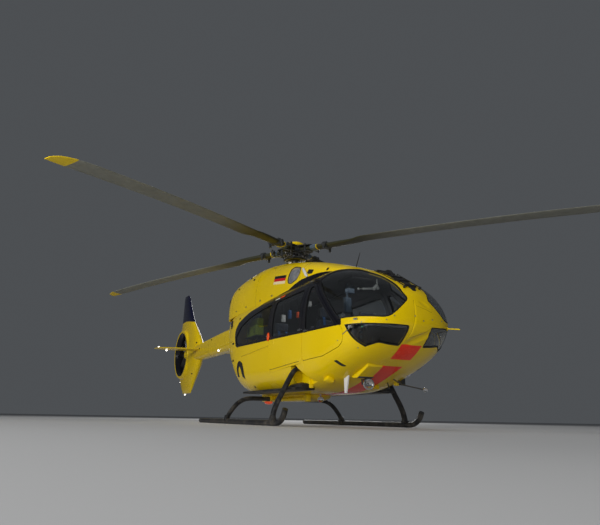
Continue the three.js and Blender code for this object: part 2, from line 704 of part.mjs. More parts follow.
// Main rotor: mast, hub with its cap, four blades and the ring that tilts them
add('rotor_mast', geometryOf(bar([mastX, 0, gearboxTop + seat], [mastX, 0, rotorPlane - 90 - seat], mastRadius, 24)),
  steel);
add('rotor_hub', geometryOf(turned([
  [0, rotorPlane - 90], [hubRadius, rotorPlane - 90], [hubRadius, rotorPlane + 70], [capRadius - 10, rotorPlane + 78],
  [capRadius, capTop - 80], [capRadius - 15, capTop - 45], [capRadius - 90, capTop - 12], [0, capTop],
], 'z', [mastX, 0, 0], 32)), yellow);

// Blade sections: distance from the mast, nose of the section, tail of the section, half-thickness
const bladeSections = [
  [hubRadius + seat, 70, -70, 45],
  [330, 75, -75, 40],
  [520, 95, -95, 45],
  [900, 100, -110, 45],
  [1250, 105, -140, 35],
  [1500, 85, -240, 20],
  [4900, 85, -240, 17],
  [5250, 60, -235, 14],
  [5420, 0, -230, 10],
  [rotorRadius, -100, -220, 6],
];
const dampers = { distance: 700, reach: 125, radius: 42 };

function bladeRing([distance, nose, tail, halfThick]) {
  const ring = [];
  const points = 12;
  for (let i = 0; i < points; i += 1) {
    const angle = (2 * Math.PI * i) / points;
    const y = (nose + tail) / 2 + ((nose - tail) / 2) * Math.cos(angle);
    const drop = bladeDroop * (distance / rotorRadius) ** 2;
    ring.push(new THREE.Vector3(distance, y, -drop + halfThick * Math.sin(angle)));
  }
  return ring;
}

const bladeSolid = solid(new LoftGeometry(bladeSections.map(bladeRing), { capStart: true, capEnd: true }))
  .add(bar([dampers.distance, -dampers.reach, 0], [dampers.distance, dampers.reach, 0], dampers.radius, 16));
const bladeShape = geometryOf(bladeSolid);
for (let i = 0; i < bladeCount; i += 1) {
  const blade = add(`rotor_blade_${i + 1}`, bladeShape, bladeGrey);
  blade.rotation.z = THREE.MathUtils.degToRad(rotorHeading + (360 * i) / bladeCount);
  blade.position.set(mastX, 0, rotorPlane);
}

// Tilting ring with four links up to the blade roots
const ringHeight = 3110;
const ringRadius = 215;
const ringHalf = 20;
const linkRadius = 13;
const linkFoot = ringRadius - 15;
const linkTurn = 18;            // a link's foot is turned this far ahead of its blade
const linkOut = 330;            // a link's head, out along the blade and beside it
const linkBeside = 95;
const linkRise = 20;
const links = [];
for (let i = 0; i < bladeCount; i += 1) {
  const heading = THREE.MathUtils.degToRad(rotorHeading + linkTurn + (360 * i) / bladeCount);
  const root = THREE.MathUtils.degToRad(rotorHeading + (360 * i) / bladeCount);
  const headX = linkOut * Math.cos(root) - linkBeside * Math.sin(root);
  const headY = linkOut * Math.sin(root) + linkBeside * Math.cos(root);
  links.push(bar([mastX + linkFoot * Math.cos(heading), linkFoot * Math.sin(heading), ringHeight],
    [mastX + headX, headY, rotorPlane + linkRise], linkRadius, 8));
}
add('swashplate', geometryOf(joinAll([
  turned([[mastRadius + seat, ringHeight - ringHalf], [ringRadius, ringHeight - ringHalf],
    [ringRadius, ringHeight + ringHalf], [mastRadius + seat, ringHeight + ringHalf],
    [mastRadius + seat, ringHeight - ringHalf]], 'z', [mastX, 0, 0], 32),
  ...links,
])), darkMetal);

// Inside the cabin: seats and instrument panel. Heights are counted from the floor.
const seatWidth = 460;
const seatY = 370;
const frontSeatX = 2080;
const cabinSeatX = 450;
const cushion = { front: 230, back: -230, low: 200, high: 300 };
const backrest = { front: -220, back: -330, low: 200, high: 860 };
const pedestal = { front: 150, back: -200, low: seat, high: 210, narrower: 60 };

function seatSolid(x) {
  const parts = [cushion, backrest, pedestal].map(({ front, back, low, high, narrower = 0 }) => box(
    x + back + mastX, x + front + mastX, seatY - seatWidth / 2 + narrower, seatY + seatWidth / 2 - narrower,
    floorTop + low, floorTop + high));
  return joinAll(parts);
}
addPair('front_seat', seatSolid(frontSeatX), cloth);
addPair('cabin_seat', seatSolid(cabinSeatX), cloth);

const panelEnds = [2790 + mastX, 2960 + mastX];
const panelHalfWidth = 420;
const panelLow = 150;
const panelHigh = 420;
const consoleEnds = [2700 + mastX, 2849 + mastX];
const consoleHalfWidth = 130;
const consoleHigh = 200;
const panelRoom = cabinSkin(-wall - 5);
add('instrument_panel', geometryOf(joinAll([
  box(...panelEnds, -panelHalfWidth, panelHalfWidth, floorTop + panelLow, floorTop + panelHigh),
  box(...consoleEnds, -consoleHalfWidth, consoleHalfWidth, floorTop + seat, floorTop + consoleHigh),
]).intersect(panelRoom)), black);

// Search light under its fairing: a short neck and a lamp that widens to the front
const lampY = -200;
const lampHeight = 600;
const lampNeck = { x: 2580, top: 690, radius: 28 };
const lampHead = { back: 2540, front: 2650, frontHeight: 586, backRadius: 58, frontRadius: 76 };
const fairingLow = 672;         // lowest face of the lamp's fairing
const lampHolder = lampFairing.add(cabinSolid).subtract(cabinHollow);
const aboveNeck = box(2400 + mastX, 2800 + mastX, 2 * lampY, 0, fairingLow - seat, fairingLow + 200);
add('search_light', geometryOf(joinAll([
  bar([lampNeck.x + mastX, lampY, lampNeck.top], [lampNeck.x + mastX, lampY, lampHeight], lampNeck.radius, 12),
  bar([lampHead.back + mastX, lampY, lampHeight], [lampHead.front + mastX, lampY, lampHead.frontHeight],
    lampHead.backRadius, 20, lampHead.frontRadius),
]).subtract(lampHolder).subtract(aboveNeck)), chrome);

// Cable deflector: a black strip along the windshield's middle post, with a thin cutter on its
// upper end
const deflectorEnds = [2720 + mastX, 3490 + mastX];
const deflectorHalfWidth = 85;
const deflectorRise = 25;
const cutterHalf = 12;
const cutterOutline = [
  [2610, 2235], [2690, 2262], [2860, 2200], [2920, 2208], [2990, 2178], [3040, 2120], [3060, 2050], [2700, 2180],
];
const onSkin = cabinSkin(deflectorRise).subtract(cabinSkin(seat));
const deflector = onSkin.intersect(
  box(...deflectorEnds, -deflectorHalfWidth, deflectorHalfWidth, 1600, 2600));
add('wire_cutter_top', geometryOf(deflector.add(
  prism('y', side(cutterOutline), -cutterHalf, cutterHalf).subtract(cabinSkin(seat)))), black);

// Aerials
const whipFoot = [2105 + mastX, 0, 2428];
const whipTip = [2240 + mastX, 0, 2657];
add('whip_aerial', geometryOf(bar(whipFoot, whipTip, 9, 8, 4)
  .subtract(cowlingSkin(seat)).subtract(cabinSkin(seat))), black);
const bladeAerialOutline = [[2390, 760], [2520, 760], [2440, 470], [2390, 470]];
const bladeAerialSides = [-459, -441];
add('belly_aerial', geometryOf(prism('y', side(bladeAerialOutline), ...bladeAerialSides)
  .subtract(cabinSkin(seat))), white);

export default helicopter;
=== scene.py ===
# %% [markdown]
# # A rescue helicopter, dressed in Blender
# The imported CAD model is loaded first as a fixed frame. It says where every piece is, and which
# body carries it. Everything after that gives the pieces their smooth skins, their details and
# their finishes. Lengths are metres, +X is the nose, +Y is port and +Z is up.

# %% Load the frame
import math

import bmesh
import bpy
from mathutils import Matrix, Vector
from mathutils.bvhtree import BVHTree


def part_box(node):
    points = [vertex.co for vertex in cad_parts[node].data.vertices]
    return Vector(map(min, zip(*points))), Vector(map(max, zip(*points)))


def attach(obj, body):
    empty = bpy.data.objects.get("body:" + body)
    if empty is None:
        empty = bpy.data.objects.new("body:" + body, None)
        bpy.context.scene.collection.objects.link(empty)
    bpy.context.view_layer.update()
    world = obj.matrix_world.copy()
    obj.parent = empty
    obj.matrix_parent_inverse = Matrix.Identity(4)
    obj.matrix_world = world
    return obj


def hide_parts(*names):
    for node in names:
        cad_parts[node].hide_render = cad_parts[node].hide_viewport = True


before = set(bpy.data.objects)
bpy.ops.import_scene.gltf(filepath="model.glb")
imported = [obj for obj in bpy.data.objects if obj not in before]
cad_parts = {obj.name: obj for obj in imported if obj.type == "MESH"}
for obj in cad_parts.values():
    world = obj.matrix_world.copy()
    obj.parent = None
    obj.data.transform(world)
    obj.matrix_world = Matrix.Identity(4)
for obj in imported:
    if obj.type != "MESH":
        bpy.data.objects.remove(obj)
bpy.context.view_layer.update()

mast_low, mast_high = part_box("rotor_mast")
mast = (mast_low.x + mast_high.x) / 2

# %% [markdown]
# ## Camera
# The photograph was taken close to the ground, ahead of the nose and to starboard of it, with a
# wide lens tipped up by sixteen degrees. Place, direction, lens and shift were fitted to twenty
# points of the picture, so the camera is given by its own right, up and forward directions.

# %% Camera at the photograph's place
picture_width, focal_pixels, shift_pixels = 600, 542.3, 48.3
sensor_width = 36


def place_camera():
    sight = Vector((-0.88848, 0.36778, 0.27447))
    right = Vector((0.38686, 0.92199, 0.01686))
    above = Vector((0.24686, -0.12116, 0.96145))
    optics = bpy.data.cameras.new("camera")
    optics.sensor_width = sensor_width
    optics.lens = focal_pixels / picture_width * sensor_width
    optics.shift_x = shift_pixels / picture_width
    optics.clip_end = 400
    holder = bpy.data.objects.new("camera", optics)
    turn = Matrix((right, above, -sight)).transposed().to_4x4()
    holder.matrix_world = Matrix.Translation((9.1626 + mast, -4.7187, 0.1175)) @ turn
    bpy.context.scene.collection.objects.link(holder)
    bpy.context.scene.camera = holder
    return holder


camera = place_camera()
print("lens", round(camera.data.lens, 1), "mm")

# %% [markdown]
# ## Nodes in a few words
# Every finish is a small tree of shader nodes. Writing each node out takes many lines, so these
# helpers make one node at a time: inputs are either numbers or the output of another node.

# %% Helpers for shader nodes
def feed(tree, socket, value):
    if isinstance(value, bpy.types.NodeSocket):
        tree.links.new(value, socket)
    else:
        socket.default_value = value


def node(tree, kind, inputs=None, **settings):
    made = tree.nodes.new("ShaderNode" + kind)
    for key, value in settings.items():
        setattr(made, key, value)
    for key, value in (inputs or {}).items():
        feed(tree, made.inputs[key], value)
    return made


def maths(tree, operation, *values, clamp=False):
    made = node(tree, "Math", dict(enumerate(values)), operation=operation, use_clamp=clamp)
    return made.outputs[0]


def mix(tree, share, first, second):
    made = node(tree, "Mix", data_type="RGBA")
    for key, kind, value in (("Factor", "VALUE", share), ("A", "RGBA", first), ("B", "RGBA", second)):
        feed(tree, next(s for s in made.inputs if s.name == key and s.type == kind), value)
    return next(s for s in made.outputs if s.type == "RGBA")


def colour(red, green, blue):
    return (red, green, blue, 1.0)


def places(tree):
    coordinates = node(tree, "TexCoord").outputs["Object"]
    split = node(tree, "SeparateXYZ", {0: coordinates})
    return coordinates, split.outputs[0], split.outputs[1], split.outputs[2]


def group(name, inputs, outputs):
    made = bpy.data.node_groups.new(name, "ShaderNodeTree")
    kinds = {"c": "NodeSocketColor", "f": "NodeSocketFloat", "v": "NodeSocketVector"}
    for label, kind, value in inputs:
        socket = made.interface.new_socket(label, in_out="INPUT", socket_type=kinds[kind])
        if value is not None:
            socket.default_value = value
    for label, kind in outputs:
        made.interface.new_socket(label, in_out="OUTPUT", socket_type=kinds[kind])
    return made, made.nodes.new("NodeGroupInput").outputs, made.nodes.new("NodeGroupOutput").inputs


def use_group(tree, shared, inputs):
    return node(tree, "Group", inputs, node_tree=shared).outputs


def new_material(name):
    material = bpy.data.materials.new(name)
    material.use_nodes = True
    return material, material.node_tree, material.node_tree.nodes["Principled BSDF"].inputs


# %% [markdown]
# ## Shared surface life
# No real surface has one flat colour. Paint has a faint waviness, dust gathers low down, and the
# gloss changes where hands and rain have been. One group gives all of this to every finish, with
# its own strength in each.

# %% Group: colour drift, dust, changing gloss and a fine wavy surface
def make_surface_life():
    tree, given, out = group("surface_life", [("Colour", "c", (1, 1, 1, 1)), ("Roughness", "f", 0.4),
                                              ("Drift", "f", 0.1), ("Dust", "f", 0.1), ("Scale", "f", 4.0),
                                              ("Ripple", "f", 0.05), ("Ripple Scale", "f", 90.0)],
                                              [("Colour", "c"), ("Roughness", "f"), ("Normal", "v")])
    spot, _, _, high = places(tree)
    broad = node(tree, "TexNoise",
                 {"Vector": spot, "Scale": given["Scale"], "Detail": 5.0, "Roughness": 0.6})
    fine = node(tree, "TexNoise", {"Vector": spot, "Scale": given["Ripple Scale"], "Detail": 3.0})
    lean = maths(tree, "SUBTRACT", broad.outputs[0], 0.5)
    shade = maths(tree, "ADD", 1.0, maths(tree, "MULTIPLY", lean, given["Drift"]))
    tinted = node(tree, "VectorMath", {0: given["Colour"], "Scale": shade}, operation="SCALE").outputs[0]
    low = node(tree, "MapRange", {0: high, 1: 1.1, 2: 0.3, 3: 0.15, 4: 1.0}).outputs[0]
    patchy = node(tree, "MapRange", {0: broad.outputs[0], 1: 0.45, 2: 0.75, 3: 0.0, 4: 1.0}).outputs[0]
    dust = maths(tree, "MULTIPLY", maths(tree, "MULTIPLY", low, patchy), given["Dust"], clamp=True)
    dusty = mix(tree, dust, tinted, colour(0.32, 0.28, 0.22))
    rough = maths(tree, "ADD", given["Roughness"], maths(tree, "MULTIPLY", lean, 0.25))
    rough = maths(tree, "ADD", rough, maths(tree, "MULTIPLY", dust, 0.5), clamp=True)
    bump = node(tree, "Bump", {"Strength": given["Ripple"], "Distance": 0.002, "Height": fine.outputs[0]})
    tree.links.new(dusty, out["Colour"])
    tree.links.new(rough, out["Roughness"])
    tree.links.new(bump.outputs[0], out["Normal"])
    return tree


surface_life = make_surface_life()


def finish(name, base, roughness, metallic=0.0, drift=0.15, dust=0.1, scale=4.0, ripple=0.05,
           ripple_scale=90.0, coat=0.0, glow=0.0, see_through=0.0, mirror=0.5):
    material, tree, surface = new_material(name)
    chosen = base(tree) if callable(base) else colour(*base)
    life = use_group(tree, surface_life, {
        "Colour": chosen, "Roughness": roughness, "Drift": drift, "Dust": dust, "Scale": scale,
        "Ripple": ripple, "Ripple Scale": ripple_scale})
    values = {"Roughness": life["Roughness"], "Normal": life["Normal"], "Base Color": life["Colour"],
              "Metallic": metallic, "Coat Weight": coat, "Specular IOR Level": mirror,
              "Coat Roughness": 0.06, "Transmission Weight": see_through}
    if glow:
        values |= {"Emission Strength": glow, "Emission Color": colour(*base)}
    for key, value in values.items():
        feed(tree, surface[key], value)
    return material


print("surface group has", len(surface_life.nodes), "nodes")

# %% [markdown]
# ## Where one colour ends and the next begins
# The black window band, the red stripe under the nose, the flag on the cowling and the dark fin
# tip are all masks. A Float Curve node turns the distance along the machine into the height of an
# edge, so a drawn line of a few points becomes a crisp paint edge at any size.

# %% Helpers for paint edges
def edge_height(tree, along, points, low=0.0, high=4.0):
    first, last = points[0][0], points[-1][0]
    share = node(tree, "MapRange", {0: along, 1: first + mast, 2: last + mast, 3: 0.0, 4: 1.0}).outputs[0]
    line = node(tree, "FloatCurve", {"Value": share})
    curve = line.mapping.curves[0]
    while len(curve.points) < len(points):
        curve.points.new(0.5, 0.5)
    for spot, (x, z) in zip(sorted(curve.points, key=lambda p: p.location[0]), points):
        spot.location = ((x - first) / (last - first), (z - low) / (high - low))
        spot.handle_type = "VECTOR"
    line.mapping.update()
    return maths(tree, "MULTIPLY_ADD", line.outputs[0], high - low, low)


def more(tree, value, limit, soft=0.002):
    ramp = node(tree, "MapRange",
                {0: maths(tree, "SUBTRACT", value, limit), 1: -soft, 2: soft, 3: 0.0, 4: 1.0})
    return ramp.outputs[0]


def less(tree, value, limit, soft=0.002):
    return maths(tree, "SUBTRACT", 1.0, more(tree, value, limit, soft))


def away_from(tree, a, b):
    return maths(tree, "SQRT",
                 maths(tree, "ADD", maths(tree, "POWER", a, 2.0), maths(tree, "POWER", b, 2.0)))


def both(tree, *masks):
    total = masks[0]
    for mask in masks[1:]:
        total = maths(tree, "MULTIPLY", total, mask)
    return total


yellow_shade = (0.80, 0.56, 0.0)
yellow = colour(*yellow_shade)
black = colour(0.006, 0.006, 0.009)
red = colour(0.95, 0.03, 0.003)
navy = colour(0.003, 0.004, 0.026)

band_top = [(-1.058, 1.76), (-1.04, 1.83), (-1.0, 1.88), (-0.945, 1.94), (-0.675, 2.042), (-0.474, 2.10),
            (-0.175, 2.135), (0.06, 2.177), (0.245, 2.202), (0.5, 2.23), (0.56, 2.5), (2.95, 2.5)]
band_low = [(-1.058, 1.76), (-1.042, 1.647), (-0.995, 1.50), (-0.93, 1.447), (-0.85, 1.437),
            (-0.772, 1.435), (-0.175, 1.416), (0.719, 1.394), (1.805, 1.364), (2.39, 1.353), (2.901, 1.346),
            (2.95, 1.346)]
cowl_band = [(0.45, 2.20), (0.567, 2.227), (0.919, 2.256), (1.091, 2.312), (1.314, 2.363), (1.526, 2.372),
             (1.708, 2.384), (1.932, 2.369), (2.3, 2.30)]
upright_seam = [(1.098, -0.147), (1.204, -0.122), (1.275, -0.119), (1.417, -0.097), (1.586, -0.089),
                (1.635, -0.084)]
upper_seam = [(-0.084, 1.635), (-0.059, 1.554), (0.081, 1.519), (0.193, 1.484)]
lower_seam = [(-0.108, 1.146), (0.005, 1.188), (0.111, 1.231), (0.178, 1.285)]


def nose_seams(tree, x, y, z):
    lines = []
    for along, other, points in ((z, y, upright_seam), (y, z, upper_seam), (y, z, lower_seam)):
        low, high = (-0.5, 0.5) if along is z else (1.0, 2.0)
        line = edge_height(tree, maths(tree, "ADD", along, mast), points, low, high)
        aside = maths(tree, "ABSOLUTE", maths(tree, "SUBTRACT", other, line))
        lines.append(both(tree, less(tree, aside, 0.0022, 0.001), more(tree, along, points[0][0]),
                          less(tree, along, points[-1][0])))
    total = maths(tree, "MAXIMUM", maths(tree, "MAXIMUM", lines[0], lines[1]), lines[2])
    return maths(tree, "MULTIPLY", both(tree, total, more(tree, x, 3.25 + mast)), 0.75)


def body_colour(tree):
    _, x, y, z = places(tree)
    aside = maths(tree, "ABSOLUTE", y)
    low, top = edge_height(tree, x, band_low), edge_height(tree, x, band_top)
    roof = both(tree, less(tree, aside, 0.235), more(tree, x, 2.56 + mast))
    post = maths(tree, "SUBTRACT", 1.0, roof)
    band = both(tree, more(tree, z, low), less(tree, z, top), more(tree, x, -1.058 + mast),
                less(tree, x, 2.901 + mast), post)
    front = both(tree, more(tree, x, 3.085 + mast), less(tree, x, 3.345 + mast))
    back = both(tree, more(tree, x, 1.0 + mast), less(tree, x, 2.915 + mast))
    stripe = both(tree, maths(tree, "MAXIMUM", front, back), less(tree, aside, 0.165), less(tree, z, 1.3))
    painted = mix(tree, band, mix(tree, stripe, yellow, red), black)
    return mix(tree, nose_seams(tree, x, y, z), painted, colour(0.10, 0.06, 0.0))


def cowling_colour(tree):
    _, x, y, z = places(tree)
    left, right = 0.33 + mast, 0.77 + mast
    slope = maths(tree, "MULTIPLY", maths(tree, "SUBTRACT", x, left), -0.16)
    level = maths(tree, "SUBTRACT", z, slope)
    inside = both(tree, more(tree, x, left), less(tree, x, right), more(tree, level, 2.475),
                  less(tree, level, 2.636))
    flag = mix(tree, less(tree, level, 2.582), black, colour(0.62, 0.008, 0.008))
    flag = mix(tree, less(tree, level, 2.529), flag, colour(0.88, 0.74, 0.42))
    lower = both(tree, less(tree, z, edge_height(tree, x, cowl_band)), more(tree, x, 0.45 + mast))
    return mix(tree, lower, mix(tree, inside, yellow, flag), black)


fin_edge = [(-8.3, 2.80), (-8.05, 2.93), (-7.75, 2.99), (-7.3, 2.985), (-6.9, 2.93), (-6.5, 2.86)]


def tail_colour(tree):
    _, x, y, z = places(tree)
    upper = more(tree, z, edge_height(tree, x, fin_edge))
    across, rise = maths(tree, "SUBTRACT", x, -7.36 + mast), maths(tree, "SUBTRACT", z, 1.95)
    out = away_from(tree, across, rise)
    duct = both(tree, less(tree, out, 0.664), less(tree, maths(tree, "ABSOLUTE", y), 0.2215, 0.0005))
    return mix(tree, duct, mix(tree, upper, yellow, navy), black)


def blade_colour(tree):
    spot, x, y, _ = places(tree)
    across = maths(tree, "SUBTRACT", x, mast)
    out = away_from(tree, across, y)
    streaks = node(tree, "TexNoise", {"Vector": spot, "Scale": 9.0, "Detail": 6.0}).outputs[0]
    # Inboard the blade is painted dark: a painted shadow, as cast by the cabin roof. Outboard it is lit
    # grey with random streaks, and the tips are yellow.
    outside_painted_shadow = maths(tree, "MULTIPLY", more(tree, out, 1.9, 0.5),
                 maths(tree, "MULTIPLY_ADD", streaks, 0.5, 0.55))
    skin = mix(tree, outside_painted_shadow, colour(0.035, 0.036, 0.02), colour(0.25, 0.25, 0.21))
    return mix(tree, more(tree, out, 5.22), skin, yellow)


print("band edge from", band_top[0], "to", band_top[-1])

# %% [markdown]
# ## The finishes
# Gloss paint is a coloured layer under clear coat. Window plastic is dark and lets some light
# through. Metals get most of their look from how rough they are. Rubber, moulded plastic and
# cloth have no coat at all. Each finish is also listed under its usual slot name.

# %% Materials
gloss = {"drift": 0.1, "coat": 0.15, "mirror": 0.3, "scale": 1.3}
paint_body = finish("body_paint", body_colour, 0.22, dust=0.35, ripple=0.03, **gloss)
paint_cowl = finish("cowling_paint", cowling_colour, 0.24, dust=0.2, ripple=0.03, **gloss)
paint_tail = finish("tail_paint", tail_colour, 0.24, dust=0.2, ripple=0.03, **gloss)
paint_yellow = finish("yellow_paint", yellow_shade, 0.24, dust=0.3, **gloss)
paint_blade = finish("blade_paint", blade_colour, 0.55, drift=0.25, dust=0.0, scale=3.0)
paint_black = finish("satin_black", (0.012, 0.012, 0.013), 0.42, drift=0.4, dust=0.25, scale=7.0,
                     ripple=0.15)
paint_white = finish("white_paint", (0.72, 0.72, 0.70), 0.3, coat=0.5, scale=9.0)
rubber = finish("rubber_seal", (0.010, 0.010, 0.011), 0.62, scale=20.0, ripple=0.2, ripple_scale=400.0)
window_tint = (0.62, 0.64, 0.64)
glass = finish("tinted_window", window_tint, 0.02, mirror=0.28, drift=0.0, dust=0.0, ripple=0.0,
               see_through=1.0)


def let_light_in(material):
    tree = material.node_tree
    output = next(n for n in tree.nodes if n.bl_idname == "ShaderNodeOutputMaterial")
    is_shadow = node(tree, "LightPath").outputs["Is Shadow Ray"]
    clear = node(tree, "BsdfTransparent", {"Color": colour(*window_tint)}).outputs[0]
    body = tree.nodes["Principled BSDF"].outputs[0]
    tree.links.new(node(tree, "MixShader", {0: is_shadow, 1: body, 2: clear}).outputs[0],
                   output.inputs["Surface"])


let_light_in(glass)
steel = finish("oiled_steel", (0.30, 0.30, 0.31), 0.34, metallic=1.0, drift=0.4, scale=14.0)
dark_metal = finish("dark_metal", (0.075, 0.08, 0.09), 0.36, metallic=0.8, drift=0.5, scale=16.0,
                    ripple=0.15)
alloy = finish("bare_alloy", (0.45, 0.46, 0.47), 0.32, metallic=1.0, drift=0.2, scale=10.0)
burnt = finish("burnt_steel", (0.20, 0.15, 0.12), 0.4, metallic=1.0, drift=0.9, scale=5.0, ripple=0.2)
chrome = finish("lamp_chrome", (0.85, 0.85, 0.86), 0.07, metallic=1.0, drift=0.05, scale=10.0, ripple=0.0)
floor_coat = finish("floor_coating", (0.16, 0.16, 0.165), 0.7, drift=0.5, scale=12.0, ripple=0.6,
                    ripple_scale=500.0)
lining = finish("cabin_lining", (0.085, 0.088, 0.094), 0.75, drift=0.2, scale=6.0, ripple=0.4,
                ripple_scale=300.0)
cuff_paint = finish("cuff_paint", (0.075, 0.105, 0.145), 0.45, drift=0.35, scale=12.0)
hub_grey = finish("hub_grey", (0.05, 0.053, 0.055), 0.5, metallic=0.4, drift=0.6, scale=18.0, ripple=0.25)
plastic = finish("moulded_plastic", (0.02, 0.02, 0.021), 0.55, drift=0.2, scale=20.0, ripple=0.5,
                 ripple_scale=700.0)
hood_grey = finish("hood_grey", (0.16, 0.165, 0.17), 0.7, drift=0.2, scale=9.0, ripple=0.4,
                   ripple_scale=500.0)
screen_glass = finish("screen_glass", (0.01, 0.014, 0.016), 0.08, coat=0.6, scale=20.0, ripple=0.0)
belt_web = finish("belt_web", (0.03, 0.10, 0.26), 0.8, drift=0.3, scale=30.0, ripple=0.5,
                  ripple_scale=900.0)
rack_blue = finish("rack_blue", (0.035, 0.055, 0.08), 0.6, drift=0.3, scale=12.0, ripple=0.3,
                   ripple_scale=500.0)
case_green = finish("case_green", (0.25, 0.33, 0.03), 0.5, drift=0.3, scale=12.0, ripple=0.3,
                    ripple_scale=500.0)
orange = finish("orange_tag", (0.85, 0.09, 0.01), 0.45, scale=30.0)
orange_lens = finish("orange_lens", (0.9, 0.07, 0.005), 0.12, coat=1.0, scale=30.0, glow=0.25)
lamp_white = finish("lit_lamp", (1.0, 0.96, 0.88), 0.1, glow=3.0)
lamp_green = finish("green_lens", (0.01, 0.35, 0.2), 0.1, coat=1.0, glow=0.5)


def make_woven_cloth():
    material, tree, surface = new_material("woven_cloth")
    spot = places(tree)[0]
    threads = [node(tree, "TexWave", {"Vector": spot, "Scale": 190.0, "Distortion": 0.6},
                    bands_direction=way).outputs[1]
               for way in ("Y", "Z", "X")]
    weave = maths(tree, "MULTIPLY", maths(tree, "ADD", maths(tree, "ADD", *threads[:2]), threads[2]), 0.333)
    wear = node(tree, "TexNoise", {"Vector": spot, "Scale": 8.0, "Detail": 4.0}).outputs[0]
    shade = mix(tree, weave, colour(0.018, 0.022, 0.034), colour(0.055, 0.065, 0.09))
    rubbed = node(tree, "MapRange", {0: wear, 1: 0.5, 2: 0.7, 3: 0.0, 4: 0.5}).outputs[0]
    bump = node(tree, "Bump", {"Strength": 0.35, "Distance": 0.001, "Height": weave})
    feed(tree, surface["Base Color"], mix(tree, rubbed, shade, colour(0.10, 0.11, 0.13)))
    feed(tree, surface["Normal"], bump.outputs[0])
    feed(tree, surface["Roughness"], maths(tree, "MULTIPLY_ADD", wear, 0.15, 0.75))
    feed(tree, surface["Sheen Weight"], 0.2)
    return material


seat_cloth = make_woven_cloth()
finishes_of = {
    "yellow_paint": (paint_body, paint_cowl, paint_tail, paint_yellow),
    "black_paint": (paint_black, rubber), "white_paint": (paint_white,), "grey_blade": (paint_blade,),
    "tinted_glass": (glass,), "lamp_chrome": (chrome, alloy, lamp_white), "mast_steel": (steel,),
    "seat_cloth": (seat_cloth, belt_web),
    "panel_plastic": (hub_grey, plastic, hood_grey, screen_glass, rack_blue, case_green, orange,
                      orange_lens, lamp_green),
}
usual_slot = {made.name: slot for slot, finishes in finishes_of.items() for made in finishes}
print(len(bpy.data.materials), "materials")

# %% [markdown]
# ## Shaping helpers
# Most of this machine is a skin stretched over a row of sections. The sections are joined by a
# smooth curve first, so that few numbers give a flowing surface, and a grid is wrapped over them.

# %% Helpers: smooth rows, ovals, skins
def from_mast(x, y, z):
    return Vector((x + mast, y, z))


def circle(sides):
    return [(math.cos(2 * math.pi * k / sides), math.sin(2 * math.pi * k / sides)) for k in range(sides)]


def smooth_rows(rows, step=0.06, measured=5):
    at = [0.0]
    for a, b in zip(rows, rows[1:]):
        at.append(at[-1] + math.dist(a[:measured], b[:measured]))
    columns = list(zip(*rows))
    slopes = []
    for column in columns:
        rise = [(column[i + 1] - column[i]) / (at[i + 1] - at[i]) for i in range(len(rows) - 1)]
        inner = [0.0 if p * q <= 0 else 2 * p * q / (p + q) for p, q in zip(rise, rise[1:])]
        slopes.append([rise[0], *inner, rise[-1]])
    made = []
    for i in range(len(rows) - 1):
        gap = at[i + 1] - at[i]
        count = max(2, round(gap / step))
        for k in range(count):
            t = k / count
            made.append(tuple(
                (2 * t**3 - 3 * t**2 + 1) * c[i] + (t**3 - 2 * t**2 + t) * gap * s[i]
                + (3 * t**2 - 2 * t**3) * c[i + 1] + (t**3 - t**2) * gap * s[i + 1]
                for c, s in zip(columns, slopes)))
    made.append(tuple(rows[-1]))
    return made


def even(points, count):
    at = [0.0]
    for a, b in zip(points, points[1:]):
        at.append(at[-1] + math.dist(a, b))
    made, k = [], 0
    for i in range(count):
        want = at[-1] * i / count
        while at[k + 1] < want:
            k += 1
        share = (want - at[k]) / max(at[k + 1] - at[k], 1e-12)
        made.append(tuple(p + (q - p) * share for p, q in zip(points[k], points[k + 1])))
    return made


def oval(x, half_width, low, widest, high, above, below, quarter=24):
    ring = []
    for turn in range(4):
        power = 2 / (above if turn < 2 else below)
        reach = high - widest if turn < 2 else widest - low
        fine = []
        for i in range(49):
            angle = (turn + i / 48) * math.pi / 2
            across, up = math.cos(angle), math.sin(angle)
            fine.append((math.copysign(abs(across) ** power,
                                       across) * half_width if abs(across) > 1e-9 else 0.0,
                         widest + math.copysign(abs(up) ** power,
                                                up) * reach if abs(up) > 1e-9 else widest))
        ring += even(fine, quarter)
    return [(x + mast, y, z) for y, z in ring]


def skin(rings):
    around, count = len(rings[0]), len(rings)
    bm = bmesh.new()
    bmesh.ops.create_grid(bm, x_segments=around, y_segments=count - 1, size=1)
    for v in bm.verts:
        i = round((v.co.x + 1) / 2 * around) % around
        j = round((v.co.y + 1) / 2 * (count - 1))
        v.co = rings[j][i]
    bmesh.ops.remove_doubles(bm, verts=bm.verts, dist=1e-6)
    bmesh.ops.holes_fill(bm, edges=[e for e in bm.edges if e.is_boundary], sides=0)
    bmesh.ops.recalc_face_normals(bm, faces=bm.faces)
    return bm


# %% [markdown]
# Panels, windows and openings are cut from the same skin, as the real panels are moulded in one
# tool and then trimmed. An outline is pushed straight through to make a cutter, and a Boolean
# modifier does the cutting. Corner radii come from bevelling the outline's corners.

# %% Helpers: outlines, cutters and cuts
def moved_in(outline, distance):
    area = sum(a[0] * b[1] - b[0] * a[1] for a, b in zip(outline, outline[1:] + outline[:1]))
    turn = 1 if area > 0 else -1
    made = []
    for i, corner in enumerate(outline):
        before, after = Vector(outline[i - 1][:2]), Vector(outline[(i + 1) % len(outline)][:2])
        here = Vector(corner[:2])
        first, second = (here - before).normalized(), (after - here).normalized()
        n, m = Vector((-first.y, first.x)) * turn, Vector((-second.y, second.x)) * turn
        spot = here + (n + m) * (distance / (1 + n.dot(m)))
        made.append((spot.x, spot.y, *corner[2:]))
    return made


